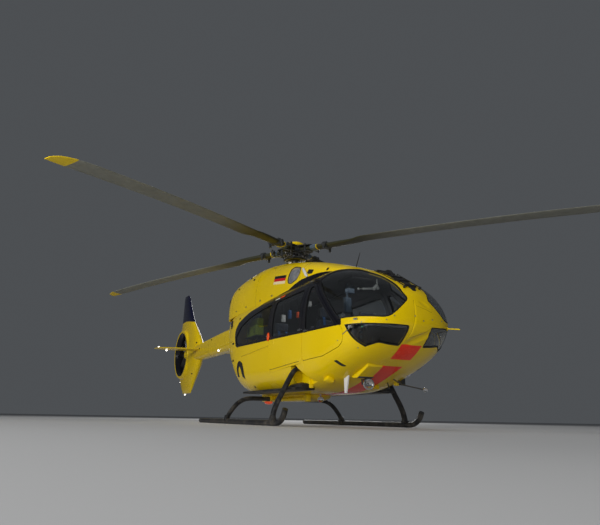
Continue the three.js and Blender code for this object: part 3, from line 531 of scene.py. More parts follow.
def cutter(axis, outline, start, end, inwards=0.0, radius=0.0):
    bm = bmesh.new()
    corners = []
    for a, b, *own in moved_in(outline, inwards) if inwards else outline:
        spot = {"x": (start, a, b), "y": (a + mast, start, b), "z": (a + mast, b, start)}[axis]
        corners.append((bm.verts.new(spot), own[0] if own else radius))
    bm.faces.new([v for v, _ in corners])
    for corner, own in corners:
        if own > 0:
            bmesh.ops.bevel(bm, geom=[corner], offset=own, offset_type="OFFSET", segments=6, profile=0.5,
                            affect="VERTICES", material=-1)
    push = bmesh.ops.extrude_face_region(bm, geom=list(bm.faces))
    moved = [v for v in push["geom"] if isinstance(v, bmesh.types.BMVert)]
    step = Vector([(end - start) if letter == axis else 0.0 for letter in "xyz"])
    bmesh.ops.translate(bm, verts=moved, vec=step)
    bmesh.ops.recalc_face_normals(bm, faces=bm.faces)
    return bm


def rounded(bm, edges, offset, segments=2):
    bmesh.ops.bevel(bm, geom=edges, offset=offset, segments=segments, profile=0.5, affect="EDGES",
                    material=-1)


def hidden_object(bm):
    mesh = bpy.data.meshes.new("tool")
    bm.to_mesh(mesh)
    made = bpy.data.objects.new("tool", mesh)
    bpy.context.scene.collection.objects.link(made)
    return made


def result_of(holder):
    ready = holder.evaluated_get(bpy.context.evaluated_depsgraph_get())
    made = bmesh.new()
    made.from_mesh(ready.to_mesh())
    ready.to_mesh_clear()
    return made


def forget(holder):
    mesh = holder.data
    bpy.data.objects.remove(holder)
    bpy.data.meshes.remove(mesh)


def combine(one, other, operation):
    base, tool = hidden_object(one), hidden_object(other)
    step = base.modifiers.new("combine", "BOOLEAN")
    step.object = tool
    step.operation = operation
    step.solver = "MANIFOLD"
    made = result_of(base)
    forget(base)
    forget(tool)
    return made


def cut(one, *others):
    for other in others:
        one = combine(one, other, "DIFFERENCE")
    return one


def kept(one, *others):
    for other in others:
        one = combine(one, other, "INTERSECT")
    return one


def mirror_image(bm):
    made = bm.copy()
    bmesh.ops.scale(made, vec=(1, -1, 1), verts=made.verts)
    bmesh.ops.reverse_faces(made, faces=made.faces)
    return made


def together(*parts):
    made = bmesh.new()
    for part in parts:
        mesh = bpy.data.meshes.new("part")
        part.to_mesh(mesh)
        made.from_mesh(mesh)
        bpy.data.meshes.remove(mesh)
    return made


def on_both_sides(bm):
    return together(bm, mirror_image(bm))


def piece(name, bm, material, rides="airframe", stands_for=(), slot=None, sharp=32, extra=()):
    mesh = bpy.data.meshes.new(name)
    bm.to_mesh(mesh)
    made = bpy.data.objects.new(name, mesh)
    bpy.context.scene.collection.objects.link(made)
    for one in (material, *extra):
        mesh.materials.append(one)
    mesh.shade_smooth()
    mesh.set_sharp_from_angle(angle=math.radians(sharp))
    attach(made, rides)
    if stands_for:
        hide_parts(*stands_for)
    slot = slot or usual_slot[material.name]
    return made


middle_height, nose_from, tail_from, tail_rise = 1.4, mast + 2.4, mast - 1.0, 0.37


def line_inside(bm):
    for face in bm.faces:
        middle = face.calc_center_median()
        level = middle_height + tail_rise * max(0.0, tail_from - middle.x)
        out = Vector((max(0.0, middle.x - nose_from), middle.y, middle.z - level)).normalized()
        if face.normal.dot(out) < -0.35:
            face.material_index = 1
    return bm


# %% [markdown]
# Rods, blocks and turned shapes make up most of the fittings. Their edges are always broken by a
# small bevel, because a bevelled edge catches the light as a machined or moulded one does.

# %% Helpers: rods, blocks and turned shapes
def rod(start, end, radius, end_radius=None, sides=32, chamfer=0.0):
    a, b = Vector(start), Vector(end)
    bm = bmesh.new()
    bmesh.ops.create_cone(bm, cap_ends=True, segments=sides, radius1=radius,
                          radius2=radius if end_radius is None else end_radius, depth=(b - a).length)
    if chamfer:
        rims = [e for e in bm.edges if abs(e.verts[0].co.z - e.verts[1].co.z) < 1e-6]
        rounded(bm, rims, chamfer)
    turn = (b - a).to_track_quat("Z", "Y").to_matrix().to_4x4()
    bmesh.ops.transform(bm, matrix=Matrix.Translation((a + b) / 2) @ turn, verts=bm.verts)
    return bm


def block(x0, x1, y0, y1, z0, z1, chamfer=0.004, segments=2):
    bm = bmesh.new()
    bmesh.ops.create_cube(bm, size=1)
    bmesh.ops.scale(bm, vec=(x1 - x0, y1 - y0, z1 - z0), verts=bm.verts)
    bmesh.ops.translate(bm, vec=((x0 + x1) / 2, (y0 + y1) / 2, (z0 + z1) / 2), verts=bm.verts)
    if chamfer:
        rounded(bm, bm.edges[:], chamfer, segments)
    return bm


def slab(x0, x1, *sizes):
    return block(x0 + mast, x1 + mast, *sizes)


def ball(place, radius, around=24, up=16):
    bm = bmesh.new()
    bmesh.ops.create_uvsphere(bm, u_segments=around, v_segments=up, radius=radius)
    bmesh.ops.translate(bm, vec=place, verts=bm.verts)
    return bm


def knob(spot, radius):
    return ball(from_mast(*spot), radius)


def strut(a, b, radius, chamfer=0.0, sides=16):
    return rod(from_mast(*a), from_mast(*b), radius, sides=sides, chamfer=chamfer)


def turned(profile, steps=64, centre=(0, 0, 0), axis="z"):
    bm = bmesh.new()
    points = [Vector((r, h, 0)) if axis == "y" else Vector((r, 0, h)) for r, h in profile]
    line = [bm.verts.new(p) for p in points]
    edges = [bm.edges.new(ends) for ends in zip(line, line[1:])]
    bmesh.ops.spin(bm, geom=[*line, *edges], cent=(0, 0, 0), axis=(0, 1, 0) if axis == "y" else (0, 0, 1),
                   angle=2 * math.pi, steps=steps, use_merge=True)
    bmesh.ops.remove_doubles(bm, verts=bm.verts, dist=1e-5)
    bmesh.ops.translate(bm, vec=centre, verts=bm.verts)
    bmesh.ops.recalc_face_normals(bm, faces=bm.faces)
    return bm


# %% [markdown]
# ## Cabin skin
# The cabin is a squared oval that swells from the tail boom, runs straight along the doors and
# closes at the nose. The same rows are used three times: for the outside, for the inside of the
# wall, and for the thin layer that the windows are cut from.

# %% Cabin sections
cabin_rows = [(-2.45, 0.252, 1.655, 1.940, 2.225, 2.4, 2.4), (-2.25, 0.400, 1.570, 1.930, 2.285, 2.3, 2.2),
              (-2.05, 0.560, 1.380, 1.890, 2.310, 2.5, 2.2), (-1.80, 0.680, 1.090, 1.800, 2.340, 2.8, 2.4),
              (-1.40, 0.785, 0.770, 1.600, 2.360, 3.0, 2.8), (-0.95, 0.840, 0.560, 1.350, 2.375, 3.1, 3.2),
              (-0.30, 0.863, 0.500, 1.200, 2.380, 3.2, 3.6), (0.90, 0.865, 0.495, 1.150, 2.380, 3.2, 3.6),
              (1.70, 0.860, 0.505, 1.150, 2.395, 3.1, 3.4), (2.15, 0.848, 0.575, 1.170, 2.375, 3.1, 3.2),
              (2.55, 0.835, 0.695, 1.220, 2.285, 2.8, 3.0), (2.90, 0.805, 0.820, 1.290, 2.145, 2.4, 2.8),
              (3.15, 0.745, 0.935, 1.345, 2.010, 2.2, 2.6), (3.33, 0.645, 1.055, 1.370, 1.900, 2.05, 2.5),
              (3.45, 0.530, 1.160, 1.380, 1.800, 1.9, 2.4), (3.52, 0.375, 1.240, 1.385, 1.690, 1.9, 2.2),
              (3.555, 0.170, 1.320, 1.390, 1.550, 1.95, 2.0), (3.562, 0.03, 1.375, 1.392, 1.41, 2.0, 2.0)]
cabin_smooth = smooth_rows(cabin_rows)


def cabin_skin(distance):
    rows = [row for row in cabin_smooth if row[1] + min(distance, 0) > (0.135 if distance < 0 else 0.0)]
    rings = []
    for i, (x, half_width, low, widest, high, above, below) in enumerate(rows):
        shift = -distance if i == 0 else distance if i == len(rows) - 1 else 0.0
        rings.append(oval(x + shift, half_width + distance, low - distance, widest, high + distance, above,
                          below))
    return skin(rings)


def hollow(spot, middle, along, reach, width):
    away = Vector((spot.y - middle[0], spot.z - middle[1]))
    way = Vector(along).normalized()
    u, v = away.dot(way) / reach, (away.y * way.x - away.x * way.y) / width
    return max(0.0, 1 - u * u - v * v) ** 1.5


def with_nose_relief(bm):
    near = [e
            for e in bm.edges if all(v.co.x > 3.27 + mast and abs(v.co.y) < 0.42 and v.co.z > 0.98
                                     for v in e.verts)]
    bmesh.ops.subdivide_edges(bm, edges=near, cuts=3, use_grid_fill=True, smooth=0.0)
    for v in [v for v in bm.verts if v.co.x > 3.2 + mast]:
        depth = 0.021 * hollow(v.co, (0.03, 1.15), (0.28, 0.13), 0.21, 0.06)
        depth += 0.010 * hollow(v.co, (0.075, 1.585), (0.25, -0.12), 0.11, 0.035)
        crease = -0.09 - max(0.0, 1.42 - v.co.z) * 0.17
        beside = min(1.0, max(0.0, (v.co.y - crease) / 0.02)) * min(1.0, max(0.0, (0.42 - v.co.y) / 0.3))
        fade = min(1.0, max(0.0, (v.co.z - 1.12) / 0.08)) * min(1.0, max(0.0, (1.64 - v.co.z) / 0.06))
        v.co -= v.normal * (depth - 0.006 * beside * fade)
    bm.normal_update()
    return bm


cabin_outside, cabin_inside = with_nose_relief(cabin_skin(0)), cabin_skin(-0.04)
cabin_wall = cut(cabin_outside, cabin_inside)
glass_layer = cut(cabin_skin(-0.008), cabin_skin(-0.014))
seal_layer = cut(cabin_skin(0.002), cabin_skin(-0.018))
print("cabin wall", len(cabin_wall.faces), "faces, glass layer", len(glass_layer.faces))

# %% [markdown]
# ## Doors and windows
# Their outlines are drawn in side view, as on a workshop drawing. The windshield and the chin
# windows curve round the nose, so they are bounded in side, front and top view at once.

# %% Outlines: distance from the mast, height, and the corner radius where it has its own
pilot_door = [(1.86, 0.94, 0.05), (2.42, 0.965, 0), (2.6, 1.005, 0), (2.8, 1.055, 0), (2.89, 1.11, 0.02),
              (2.925, 1.18, 0.03), (2.925, 1.29, 0.02), (2.06, 2.147, 0.03), (1.86, 2.147, 0.03)]
pilot_window = [(1.945, 1.385, 0.05), (2.762, 1.372, 0.05), (2.05, 2.085, 0.04), (1.945, 2.085, 0.04)]
sliding_door = [(0.69, 0.85, 0.05), (1.78, 0.905, 0.0), (1.848, 0.96, 0.02), (1.848, 2.15, 0.03),
                (0.76, 2.15, 0.0), (0.69, 2.08, 0.02)]
sliding_window = [(0.775, 1.42, 0.06), (1.775, 1.395, 0.06), (1.775, 2.085, 0.06), (0.775, 2.065, 0.06)]
quarter_window = [(0.6, 1.43, 0.06), (0.6, 2.065, 0.06), (0.2, 2.04, 0), (-0.35, 1.96, 0),
                  (-0.76, 1.83, 0.02), (-0.99, 1.64, 0.05), (-0.98, 1.56, 0.04), (-0.84, 1.455, 0.06)]
clamshell = [(-2.7, 0.3), (-1.15, 0.3), (-1.15, 1.6, 0.06), (-2.7, 1.6)]
shield_side = [(2.85, 1.425), (2.9, 1.3), (3.7, 1.3), (3.7, 2.7), (1.58, 2.7)]
shield_front = [(0.158, 1.645, 0.04), (0.329, 1.49, 0.03), (0.462, 1.378, 0.08), (1.0, 1.461), (1.0, 2.7),
                (0.185, 2.7), (0.185, 1.95), (0.195, 1.75)]
shield_top = [(2.45, 0.26, 0.1), (2.812, 0.233), (2.96, 0.2), (3.2, 0.17), (3.7, 0.15), (3.7, 1.0),
              (1.9, 1.0), (2.15, 0.62), (2.35, 0.4, 0.1)]
chin_side = [(2.972, 1.337), (3.066, 1.167), (3.138, 1.039), (3.145, 0.9), (3.7, 0.9), (3.7, 1.45),
             (2.972, 1.45)]
chin_front = [(0.172, 1.291, 0.03), (0.567, 1.306), (1.0, 1.36), (1.0, 0.9), (0.64, 0.9),
              (0.593, 1.039, 0.02), (0.48, 1.083, 0.02), (0.344, 1.062, 0.02), (0.188, 1.05, 0.03)]


def side_cut(outline, gap=0.0):
    return cutter("y", outline, 0.02, 1.0, gap)


def shield_cut(gap=0.0):
    return kept(side_cut(shield_side, gap), cutter("x", shield_front, 1.8 + mast, 3.8 + mast, gap),
                cutter("z", shield_top, 1.0, 3.0, gap))


def chin_cut(gap=0.0):
    return kept(side_cut(chin_side, gap), cutter("x", chin_front, 1.8 + mast, 3.8 + mast, gap))


door_gap = 0.008
recess_outline = [(1.47, 0.3), (1.47, 0.86, 0.04), (1.52, 0.905, 0.03), (1.64, 0.905, 0.03),
                  (1.69, 0.86, 0.04), (2.12, 0.56), (2.3, 0.3)]
recess = on_both_sides(cutter("y", recess_outline, 0.66, 1.0))
recess_lined = on_both_sides(cutter("y", recess_outline, 0.64, 1.0, -0.02))
lamp_fairing_outline = [(2.91, 0.9), (2.91, 0.81), (2.7, 0.71), (2.64, 0.672, 0.03), (2.5, 0.672, 0.03),
                        (2.47, 0.72, 0.02), (2.47, 0.9)]
port_openings = [side_cut(pilot_door), side_cut(sliding_door), side_cut(quarter_window),
                 cutter("y", clamshell, -0.001, 1.0), shield_cut(), chin_cut()]
print(len(port_openings), "openings on each side")

# %% Cut the shell
def make_shell():
    lamp_fairing = cutter("y", lamp_fairing_outline, -0.4, -0.13)
    edges = [e for e in lamp_fairing.edges if all(v.co.z < 0.85 for v in e.verts)]
    rounded(lamp_fairing, edges, 0.012, 3)
    shell = combine(cabin_wall, cut(lamp_fairing, cabin_inside), "UNION")
    shell = combine(shell, kept(recess_lined, cabin_skin(-0.02)), "UNION")
    shell = cut(shell, recess)
    for opening in port_openings:
        shell = cut(shell, opening, mirror_image(opening))
    return line_inside(shell)


shell_bm = make_shell()
piece("cabin_shell", shell_bm, paint_body, stands_for=["fuselage_shell"], extra=[lining])
print("shell", len(shell_bm.faces), "faces")

# %% Cut the doors, the windows and their rubber seals
fixed = ("airframe", "airframe")


def pair(name, bm, material, bodies=fixed, cad=None, slot=None, **more_settings):
    for side, shape, body in (("L", bm, bodies[0]), ("R", mirror_image(bm), bodies[1])):
        nodes = [f"{cad}_{side}"] if cad else []
        piece(f"{name}_{side}", shape, material, body, nodes, slot, **more_settings)


pilot_bodies = ("left_pilot_door", "right_pilot_door")
clamshell_bodies = ("left_clamshell", "right_clamshell")
pilot_panel = cut(kept(cabin_wall, side_cut(pilot_door, door_gap)), side_cut(pilot_window))
sliding_panel = cut(kept(cabin_wall, side_cut(sliding_door, 0.003)), side_cut(sliding_window))
clamshell_panel = kept(cabin_wall, cutter("y", clamshell, door_gap / 2, 1.0, door_gap))
pair("pilot_door_panel", line_inside(pilot_panel), paint_body, pilot_bodies, "pilot_door",
     extra=[lining])
pair("sliding_door_panel", line_inside(sliding_panel), paint_body, cad="sliding_door",
     extra=[lining])
pair("clamshell_panel", line_inside(clamshell_panel), paint_body, clamshell_bodies, "clamshell_door",
     extra=[lining])

panes = {"windshield": shield_cut, "chin_window": chin_cut,
         "quarter_window": lambda gap: side_cut(quarter_window, gap),
         "pilot_door_glass": lambda gap: side_cut(pilot_window, gap),
         "sliding_door_glass": lambda gap: side_cut(sliding_window, gap)}
for name, opening in panes.items():
    bodies = pilot_bodies if name == "pilot_door_glass" else fixed
    pair(name + "_pane", kept(glass_layer, opening(0.0005)), glass, bodies, name)
    seal = cut(kept(seal_layer, opening(-0.003)), opening(0.012))
    pair(name + "_seal", seal, rubber, bodies)
print(len(panes), "kinds of window, each with a seal")

# %% [markdown]
# ## Small things on the cabin's skin
# Screws, handles, rails and vents all follow the curved skin. A small piece is modelled flat at the
# origin, facing up, and is then turned so that its back lies on the nearest point of the skin. A
# vent or a rail that bends with the skin is trimmed out of a thin layer just outside it.

# %% Helpers: set a piece on a skin, trim a patch from a layer
cabin_tree = BVHTree.FromBMesh(cabin_outside)
proud_layer = cut(cabin_skin(0.005), cabin_skin(-0.003))


def set_on(tree, bm, spot, ahead=(1, 0, 0), rise=0.0):
    place, normal, _, _ = tree.find_nearest(from_mast(*spot))
    across = normal.cross(Vector(ahead)).normalized()
    turn = Matrix((across.cross(normal), across, normal)).transposed().to_4x4()
    made = bm.copy()
    bmesh.ops.transform(made, matrix=Matrix.Translation(place + normal * rise) @ turn, verts=made.verts)
    return made


def patch(outline, radius=0.0):
    return kept(proud_layer, cutter("y", outline, 0.02, 1.0, 0.0, radius))


print("layer for patches", len(proud_layer.faces), "faces")

# %% [markdown]
# Each screw is a shallow domed disc with a cross slot. They hold the nose panels on, and each sits
# where the photograph shows a bright point.

# %% Panel screws
def screw_head():
    head = turned([(0, -0.001), (0.0095, -0.001), (0.0095, 0.0015), (0.008, 0.0032), (0.004, 0.0042),
                   (0, 0.0045)], 16)
    for size in ((0.006, 0.0007), (0.0007, 0.006)):
        head = cut(head, block(-size[0], size[0], -size[1], size[1], 0.0032, 0.006, 0))
    return head


screw = screw_head()
screw_spots = [(3.555, 0.035, 1.363), (3.552, 0.186, 1.389), (3.52, 0.372, 1.389), (3.555, -0.089, 1.418),
               (3.515, -0.383, 1.406), (3.472, -0.478, 1.353), (3.056, -0.647, 1.029),
               (3.237, -0.695, 1.338), (2.811, -0.808, 1.14), (1.328, -0.857, 0.925), (3.056, 0.647, 1.029),
               (3.237, 0.695, 1.338), (1.328, 0.857, 0.925)]
screws = together(*[set_on(cabin_tree, screw, spot) for spot in screw_spots])
piece("panel_screws", screws, alloy)
print(len(screw_spots), "screws,", len(screws.faces), "faces")

# %% [markdown]
# The sliding door hangs on rails that run along the body. They are pressed strips, so they are
# trimmed from the layer outside the skin. The teardrop inlet near the tail is a black ring round a
# yellow scoop, and smaller black vents are trimmed the same way.

# %% Door rails and vents
rail_upper = [(-0.62, 1.219), (0.655, 1.284), (0.655, 1.297), (-0.62, 1.232)]
rail_lower = [(0.70, 0.838), (1.77, 0.917), (1.77, 0.929), (0.70, 0.85)]
# The line along the door above the lower rail is painted shadow; the other is a thin black line along the
# top of the upper rail.
shadow_line = [(0.70, 0.888), (1.77, 0.944), (1.77, 0.949), (0.70, 0.893)]
pair("door_rail", together(patch(rail_upper), patch(rail_lower)), paint_yellow)
pair("rail_painted_shadow_and_line", together(patch(shadow_line), patch([(x, z + 0.014) for x, z in rail_upper[:2]]
                                                       + [(x, z + 0.004) for x, z in rail_upper[2:]])),
     paint_black)

teardrop = [(-0.72, 1.17, 0.05), (-0.83, 1.13, 0.05), (-0.90, 1.0, 0.04), (-0.90, 0.86, 0.01),
            (-0.80, 0.86, 0.01), (-0.79, 1.0, 0.03), (-0.72, 1.07, 0.04), (-0.63, 1.0, 0.04),
            (-0.58, 0.86, 0.02), (-0.45, 0.80, 0.01), (-0.49, 1.0, 0.05), (-0.56, 1.12, 0.05)]
# The second patch, a slot low on the front of the cabin, is a small inlet: its flat black is painted shade
# for the dark inside the opening.
vents = [patch(teardrop), patch([(2.60, 0.89), (2.655, 0.895), (2.69, 0.82), (2.64, 0.812)], 0.01),
         patch([(-0.99, 2.01), (-0.94, 2.01), (-0.94, 2.05), (-0.99, 2.05)], 0.01),
         patch([(-1.62, 2.10), (-1.45, 2.06), (-1.33, 1.93), (-1.36, 1.86), (-1.5, 1.95), (-1.64, 2.04)],
               0.01),
         patch([(-0.185, 0.63), (-0.14, 0.63), (-0.14, 0.67), (-0.185, 0.67)], 0.02)]
pair("body_vent", together(*vents), paint_black)

# %% [markdown]
# Door handles are flush levers in a dish. The orange tag is the cover that hangs on the sliding
# door while the machine is parked; the slim arm with its round knob at the foot of the door pillar
# is bare metal.

# %% Handles, the orange tag and the arm at the door pillar
dish = turned([(0, -0.002), (0.03, -0.002), (0.034, 0.004), (0.03, 0.0065), (0.024, 0.002), (0, 0.001)], 32)
bmesh.ops.scale(dish, vec=(2.1, 0.85, 1), verts=dish.verts)
lever = block(-0.045, 0.04, -0.012, 0.012, 0.002, 0.012, 0.004, 3)


def handle(name, spot, bodies):
    grip = together(set_on(cabin_tree, lever, spot, rise=0.002),
                    set_on(cabin_tree, screw, (spot[0] + 0.075, *spot[1:])))
    pair(name + "_dish", set_on(cabin_tree, dish, spot), paint_black, bodies)
    pair(name + "_lever", grip, alloy, bodies)


handle("sliding_handle", (1.79, 0.856, 1.418), fixed)
handle("pilot_handle", (1.975, 0.852, 1.385), pilot_bodies)

tag = turned([(0, -0.004), (0.03, -0.004), (0.042, 0.002), (0.042, 0.012), (0.03, 0.021), (0.012, 0.026),
              (0, 0.027)], 32)
bmesh.ops.scale(tag, vec=(1.0, 1.75, 1), verts=tag.verts)
piece("orange_cover", set_on(cabin_tree, tag, (0.658, -0.862, 1.453)), orange)
tag_ring = turned([(0.011, 0.0), (0.014, 0.003), (0.017, 0.0), (0.014, -0.003), (0.011, 0.0)], 24,
                  (0, 0, 0.03))
piece("orange_cover_ring", set_on(cabin_tree, tag_ring, (0.655, -0.862, 1.463)), alloy)

pillar_arm = together(strut((2.93, 0.80, 1.214), (3.108, 0.772, 1.292), 0.006),
                      knob((3.111, 0.772, 1.295), 0.023),
                      strut((3.111, 0.772, 1.295), (3.115, 0.74, 1.30), 0.012),
                      strut((2.93, 0.80, 1.214), (2.93, 0.77, 1.214), 0.009),
                      set_on(cabin_tree, block(-0.03, 0.03, -0.012, 0.012, 0, 0.018, 0.004),
                             (3.163, 0.734, 1.387)))
pair("pillar_arm", pillar_arm, alloy)
print("handles, tag and pillar arm set on the skin")

# %% [markdown]
# ## Cowling
# The cowling is one long smooth hump over the engines. It ends in a thin edge on the cabin roof,
# so the cabin's own skin trims it. The exhausts leave through its back, and an air intake is cut
# into either side.

# %% Cowling skin
cowling_rows = [(-2.23, 0.44, 2.82), (-2.15, 0.56, 2.93), (-1.85, 0.64, 3.02), (-1.3, 0.66, 3.065),
                (-0.7, 0.66, 3.08), (0.0, 0.65, 3.01), (0.7, 0.62, 2.87), (1.4, 0.56, 2.69),
                (2.0, 0.455, 2.49), (2.3, 0.33, 2.375)]
cowling_smooth = smooth_rows(cowling_rows, 0.07, 3)
cowling_base = 2.15


def cowling_skin(distance):
    rings = []
    for i, (x, half_width, high) in enumerate(cowling_smooth):
        shift = -distance if i == 0 else distance if i == len(cowling_smooth) - 1 else 0.0
        low = cowling_base - max(-distance, 0) * 4
        rings.append(oval(x + shift, half_width + distance, low, cowling_base, high + distance, 2.9, 2))
    return skin(rings)


intake_outline = [(0.865, 2.43, 0.02), (0.905, 2.372, 0.03), (1.01, 2.352, 0.03), (1.165, 2.393, 0.03),
                  (1.225, 2.49, 0.04), (1.155, 2.62, 0.04), (0.93, 2.69, 0.04), (0.865, 2.655, 0.02)]
exhaust_start, exhaust_end = (-1.65 + mast, 0.265, 2.61), (-2.42 + mast, 0.325, 2.64)
intake_hole = cutter("y", intake_outline, 0.3, 0.9)
exhaust_hole = rod(exhaust_start, exhaust_end, 0.138)
under_cowling = slab(-4, 4, -0.9, 0.9, 0, cowling_base + 0.02, 0)
mast_room = rod((mast, 0, 2.6), (mast, 0, 3.3), 0.13)
cowling_wall = cut(cowling_skin(0), cowling_skin(-0.03), cabin_skin(0.001), under_cowling, mast_room,
                   intake_hole, mirror_image(intake_hole), exhaust_hole, mirror_image(exhaust_hole))
piece("cowling_skin", cowling_wall, paint_cowl, stands_for=["engine_cowling"])
print("cowling", len(cowling_wall.faces), "faces")

# %% [markdown]
# The intake beside the gearbox is covered by a wire mesh in a thin metal frame. Wires this fine
# would need thousands of faces, so the mesh is a shader: two sets of narrow waves, crossed, give
# bright wires and holes painted dark as painted shade inside the intake, and the same waves lift
# the wires in the bump.

# %% Intake mesh, its frame, and the small vents of the cowling
cowling_tree = BVHTree.FromBMesh(cowling_skin(0))
mesh_layer = cut(cowling_skin(-0.006), cowling_skin(-0.012))
frame_layer = cut(cowling_skin(0.004), cowling_skin(-0.012))
mesh_panel = kept(mesh_layer, cutter("y", intake_outline, 0.3, 0.9, 0.001))
mesh_frame = cut(kept(frame_layer, cutter("y", intake_outline, 0.3, 0.9, -0.003)),
                 cutter("y", intake_outline, 0.3, 0.9, 0.007))


def make_wire_mesh():
    material, tree, surface = new_material("wire_mesh")
    spot, _, _, z = places(tree)
    lines = []
    for angle in (0.6, -0.6):
        turned_spot = node(tree, "VectorRotate",
                           {"Vector": spot, "Axis": (0, 1, 0), "Angle": angle}).outputs[0]
        wave = node(tree, "TexWave", {"Vector": turned_spot, "Scale": 28.0}, bands_direction="X").outputs[1]
        lines.append(node(tree, "MapRange", {0: wave, 1: 0.55, 2: 0.85, 3: 0.0, 4: 1.0}).outputs[0])
    wire = maths(tree, "MAXIMUM", *lines)
    patches = node(tree, "TexNoise", {"Vector": spot, "Scale": 7.0, "Detail": 3.0}).outputs[0]
    # The holes are painted dark, as painted shade inside the intake, and lighter in noisy patches.
    seen = node(tree, "MapRange", {0: patches, 1: 0.4, 2: 0.62, 3: 0.0, 4: 1.0}).outputs[0]
    dark = mix(tree, seen, colour(0.03, 0.035, 0.05), colour(0.30, 0.29, 0.27))
    plain = mix(tree, wire, dark, colour(0.34, 0.35, 0.37))
    tan = mix(tree, wire, colour(0.42, 0.32, 0.18), colour(0.62, 0.52, 0.36))
    bump = node(tree, "Bump", {"Strength": 0.6, "Distance": 0.003, "Height": wire})
    feed(tree, surface["Base Color"], mix(tree, more(tree, z, 2.625, 0.02), plain, tan))
    feed(tree, surface["Normal"], bump.outputs[0])
    feed(tree, surface["Roughness"], maths(tree, "MULTIPLY_ADD", patches, 0.3, 0.35))
    feed(tree, surface["Metallic"], 0.3)
    return material


wire_mesh = make_wire_mesh()
pair("intake_mesh", mesh_panel, wire_mesh, cad="intake_grille", slot="grille_metal")
pair("intake_frame", mesh_frame, paint_black)


def on_cowling(bm, spot, ahead=(1, 0, 0)):
    return set_on(cowling_tree, bm, spot, ahead)


louvre = together(block(-0.028, 0.028, -0.018, 0.018, -0.004, 0.006, 0.003),
                  *[block(-0.022, 0.022, y - 0.003, y + 0.003, 0.004, 0.014, 0.002)
                    for y in (-0.01, 0.0, 0.01)])
wedge = cutter("y", [(x - mast, z) for x, z in ((-0.055, -0.004), (0.05, -0.004), (0.04, 0.012),
                                                (-0.05, 0.034))], -0.035, 0.035)
vent_places = [((-0.992, 0.506, 2.897), (1, 0, 0)), ((-1.548, 0.562, 2.781), (1, 0, 0)),
               ((1.917, 0.403, 2.414), (0, 0, 1)), ((-0.7, 0.56, 2.8), (1, 0, 0))]
cowl_vents = together(*[on_cowling(louvre, spot, turn) for spot, turn in vent_places],
                      on_cowling(wedge, (1.54, 0.497, 2.445), (1, 0, 0)))
pair("cowling_vent", cowl_vents, paint_black)

stay_points = [(1.285, 0.505, 2.56), (1.31, 0.52, 2.545), (1.47, 0.555, 2.40), (1.49, 0.54, 2.375)]
stay = together(strut(stay_points[1], stay_points[2], 0.024, 0.004, 24),
                strut(stay_points[0], stay_points[1], 0.018),
                strut(stay_points[2], stay_points[3], 0.018), knob(stay_points[1], 0.0235),
                knob(stay_points[2], 0.0235))
pair("white_stay", stay, paint_white)

seam_layer = cut(cowling_skin(0.0006), cowling_skin(-0.002))
cowl_lines = together(*[kept(seam_layer, cutter("y", [(a, 2.1), (b, 2.1), (b, 3.2), (a, 3.2)], -0.9, 0.9))
                        for a, b in ((-0.42, -0.416), (1.24, 1.244), (-1.75, -1.746))])
piece("cowling_seams", cowl_lines, rubber)
latch = together(block(-0.028, 0.028, -0.012, 0.012, -0.002, 0.004, 0.0015),
                 block(-0.02, 0.01, -0.006, 0.006, 0.003, 0.007, 0.0015))
latches = together(*[on_cowling(latch, (x, 0.66, 2.27)) for x in (-1.45, -0.9, -0.2, 0.3)],
                   *[on_cowling(latch, (x, 0.5, 2.9)) for x in (-1.2, -0.65, 0.1)])
pair("cowling_latch", latches, alloy)
print("intake mesh", len(mesh_panel.faces), "faces")

# %% [markdown]
# ## Tail boom, shroud and stabiliser
# The boom is a plain tapering tube. The fin and the shroud of the tail rotor are one moulding: a
# lens-shaped fin that swells into a ring, with the duct cut through it and its lips rounded.

# %% Lens-shaped sections
def lens(lead, trail, half_thick, count=48, fuller=0.8):
    ring = []
    for i in range(count):
        angle = 2 * math.pi * i / count
        along = (lead + trail) / 2 + (lead - trail) / 2 * math.cos(angle)
        power = fuller if math.cos(angle) > 0 else 1.0
        ring.append((along, half_thick * math.copysign(abs(math.sin(angle)) ** power, math.sin(angle))))
    return ring


boom_rows = [(-6.15, 0.160, 0.215, 1.895, 3.0), (-5.2, 0.172, 0.238, 1.908, 3.0),
             (-3.6, 0.210, 0.265, 1.936, 2.8), (-2.45, 0.251, 0.284, 1.940, 2.4)]
fin_rows = [(0.78, -6.83, -7.62, 0.025), (0.86, -6.74, -7.71, 0.055), (1.06, -6.53, -7.88, 0.09),
            (1.3, -6.28, -8.01, 0.14), (1.6, -6.0, -8.105, 0.185), (1.95, -5.85, -8.14, 0.205),
            (2.3, -6.05, -8.115, 0.185), (2.65, -6.42, -8.06, 0.125), (2.95, -6.76, -8.0, 0.09),
            (3.4, -7.09, -7.94, 0.065), (3.78, -7.35, -7.9, 0.045), (3.87, -7.47, -7.88, 0.025)]


def boom_skin(distance):
    rings = []
    for i, (x, half_width, half_height, middle, power) in enumerate(boom_rings):
        short = 0.0003 if distance <= 0 and i == len(boom_rings) - 1 else 0
        rings.append(oval(x - short, half_width + distance, middle - half_height - distance, middle,
                          middle + half_height + distance, power, power, 14))
    return skin(rings)


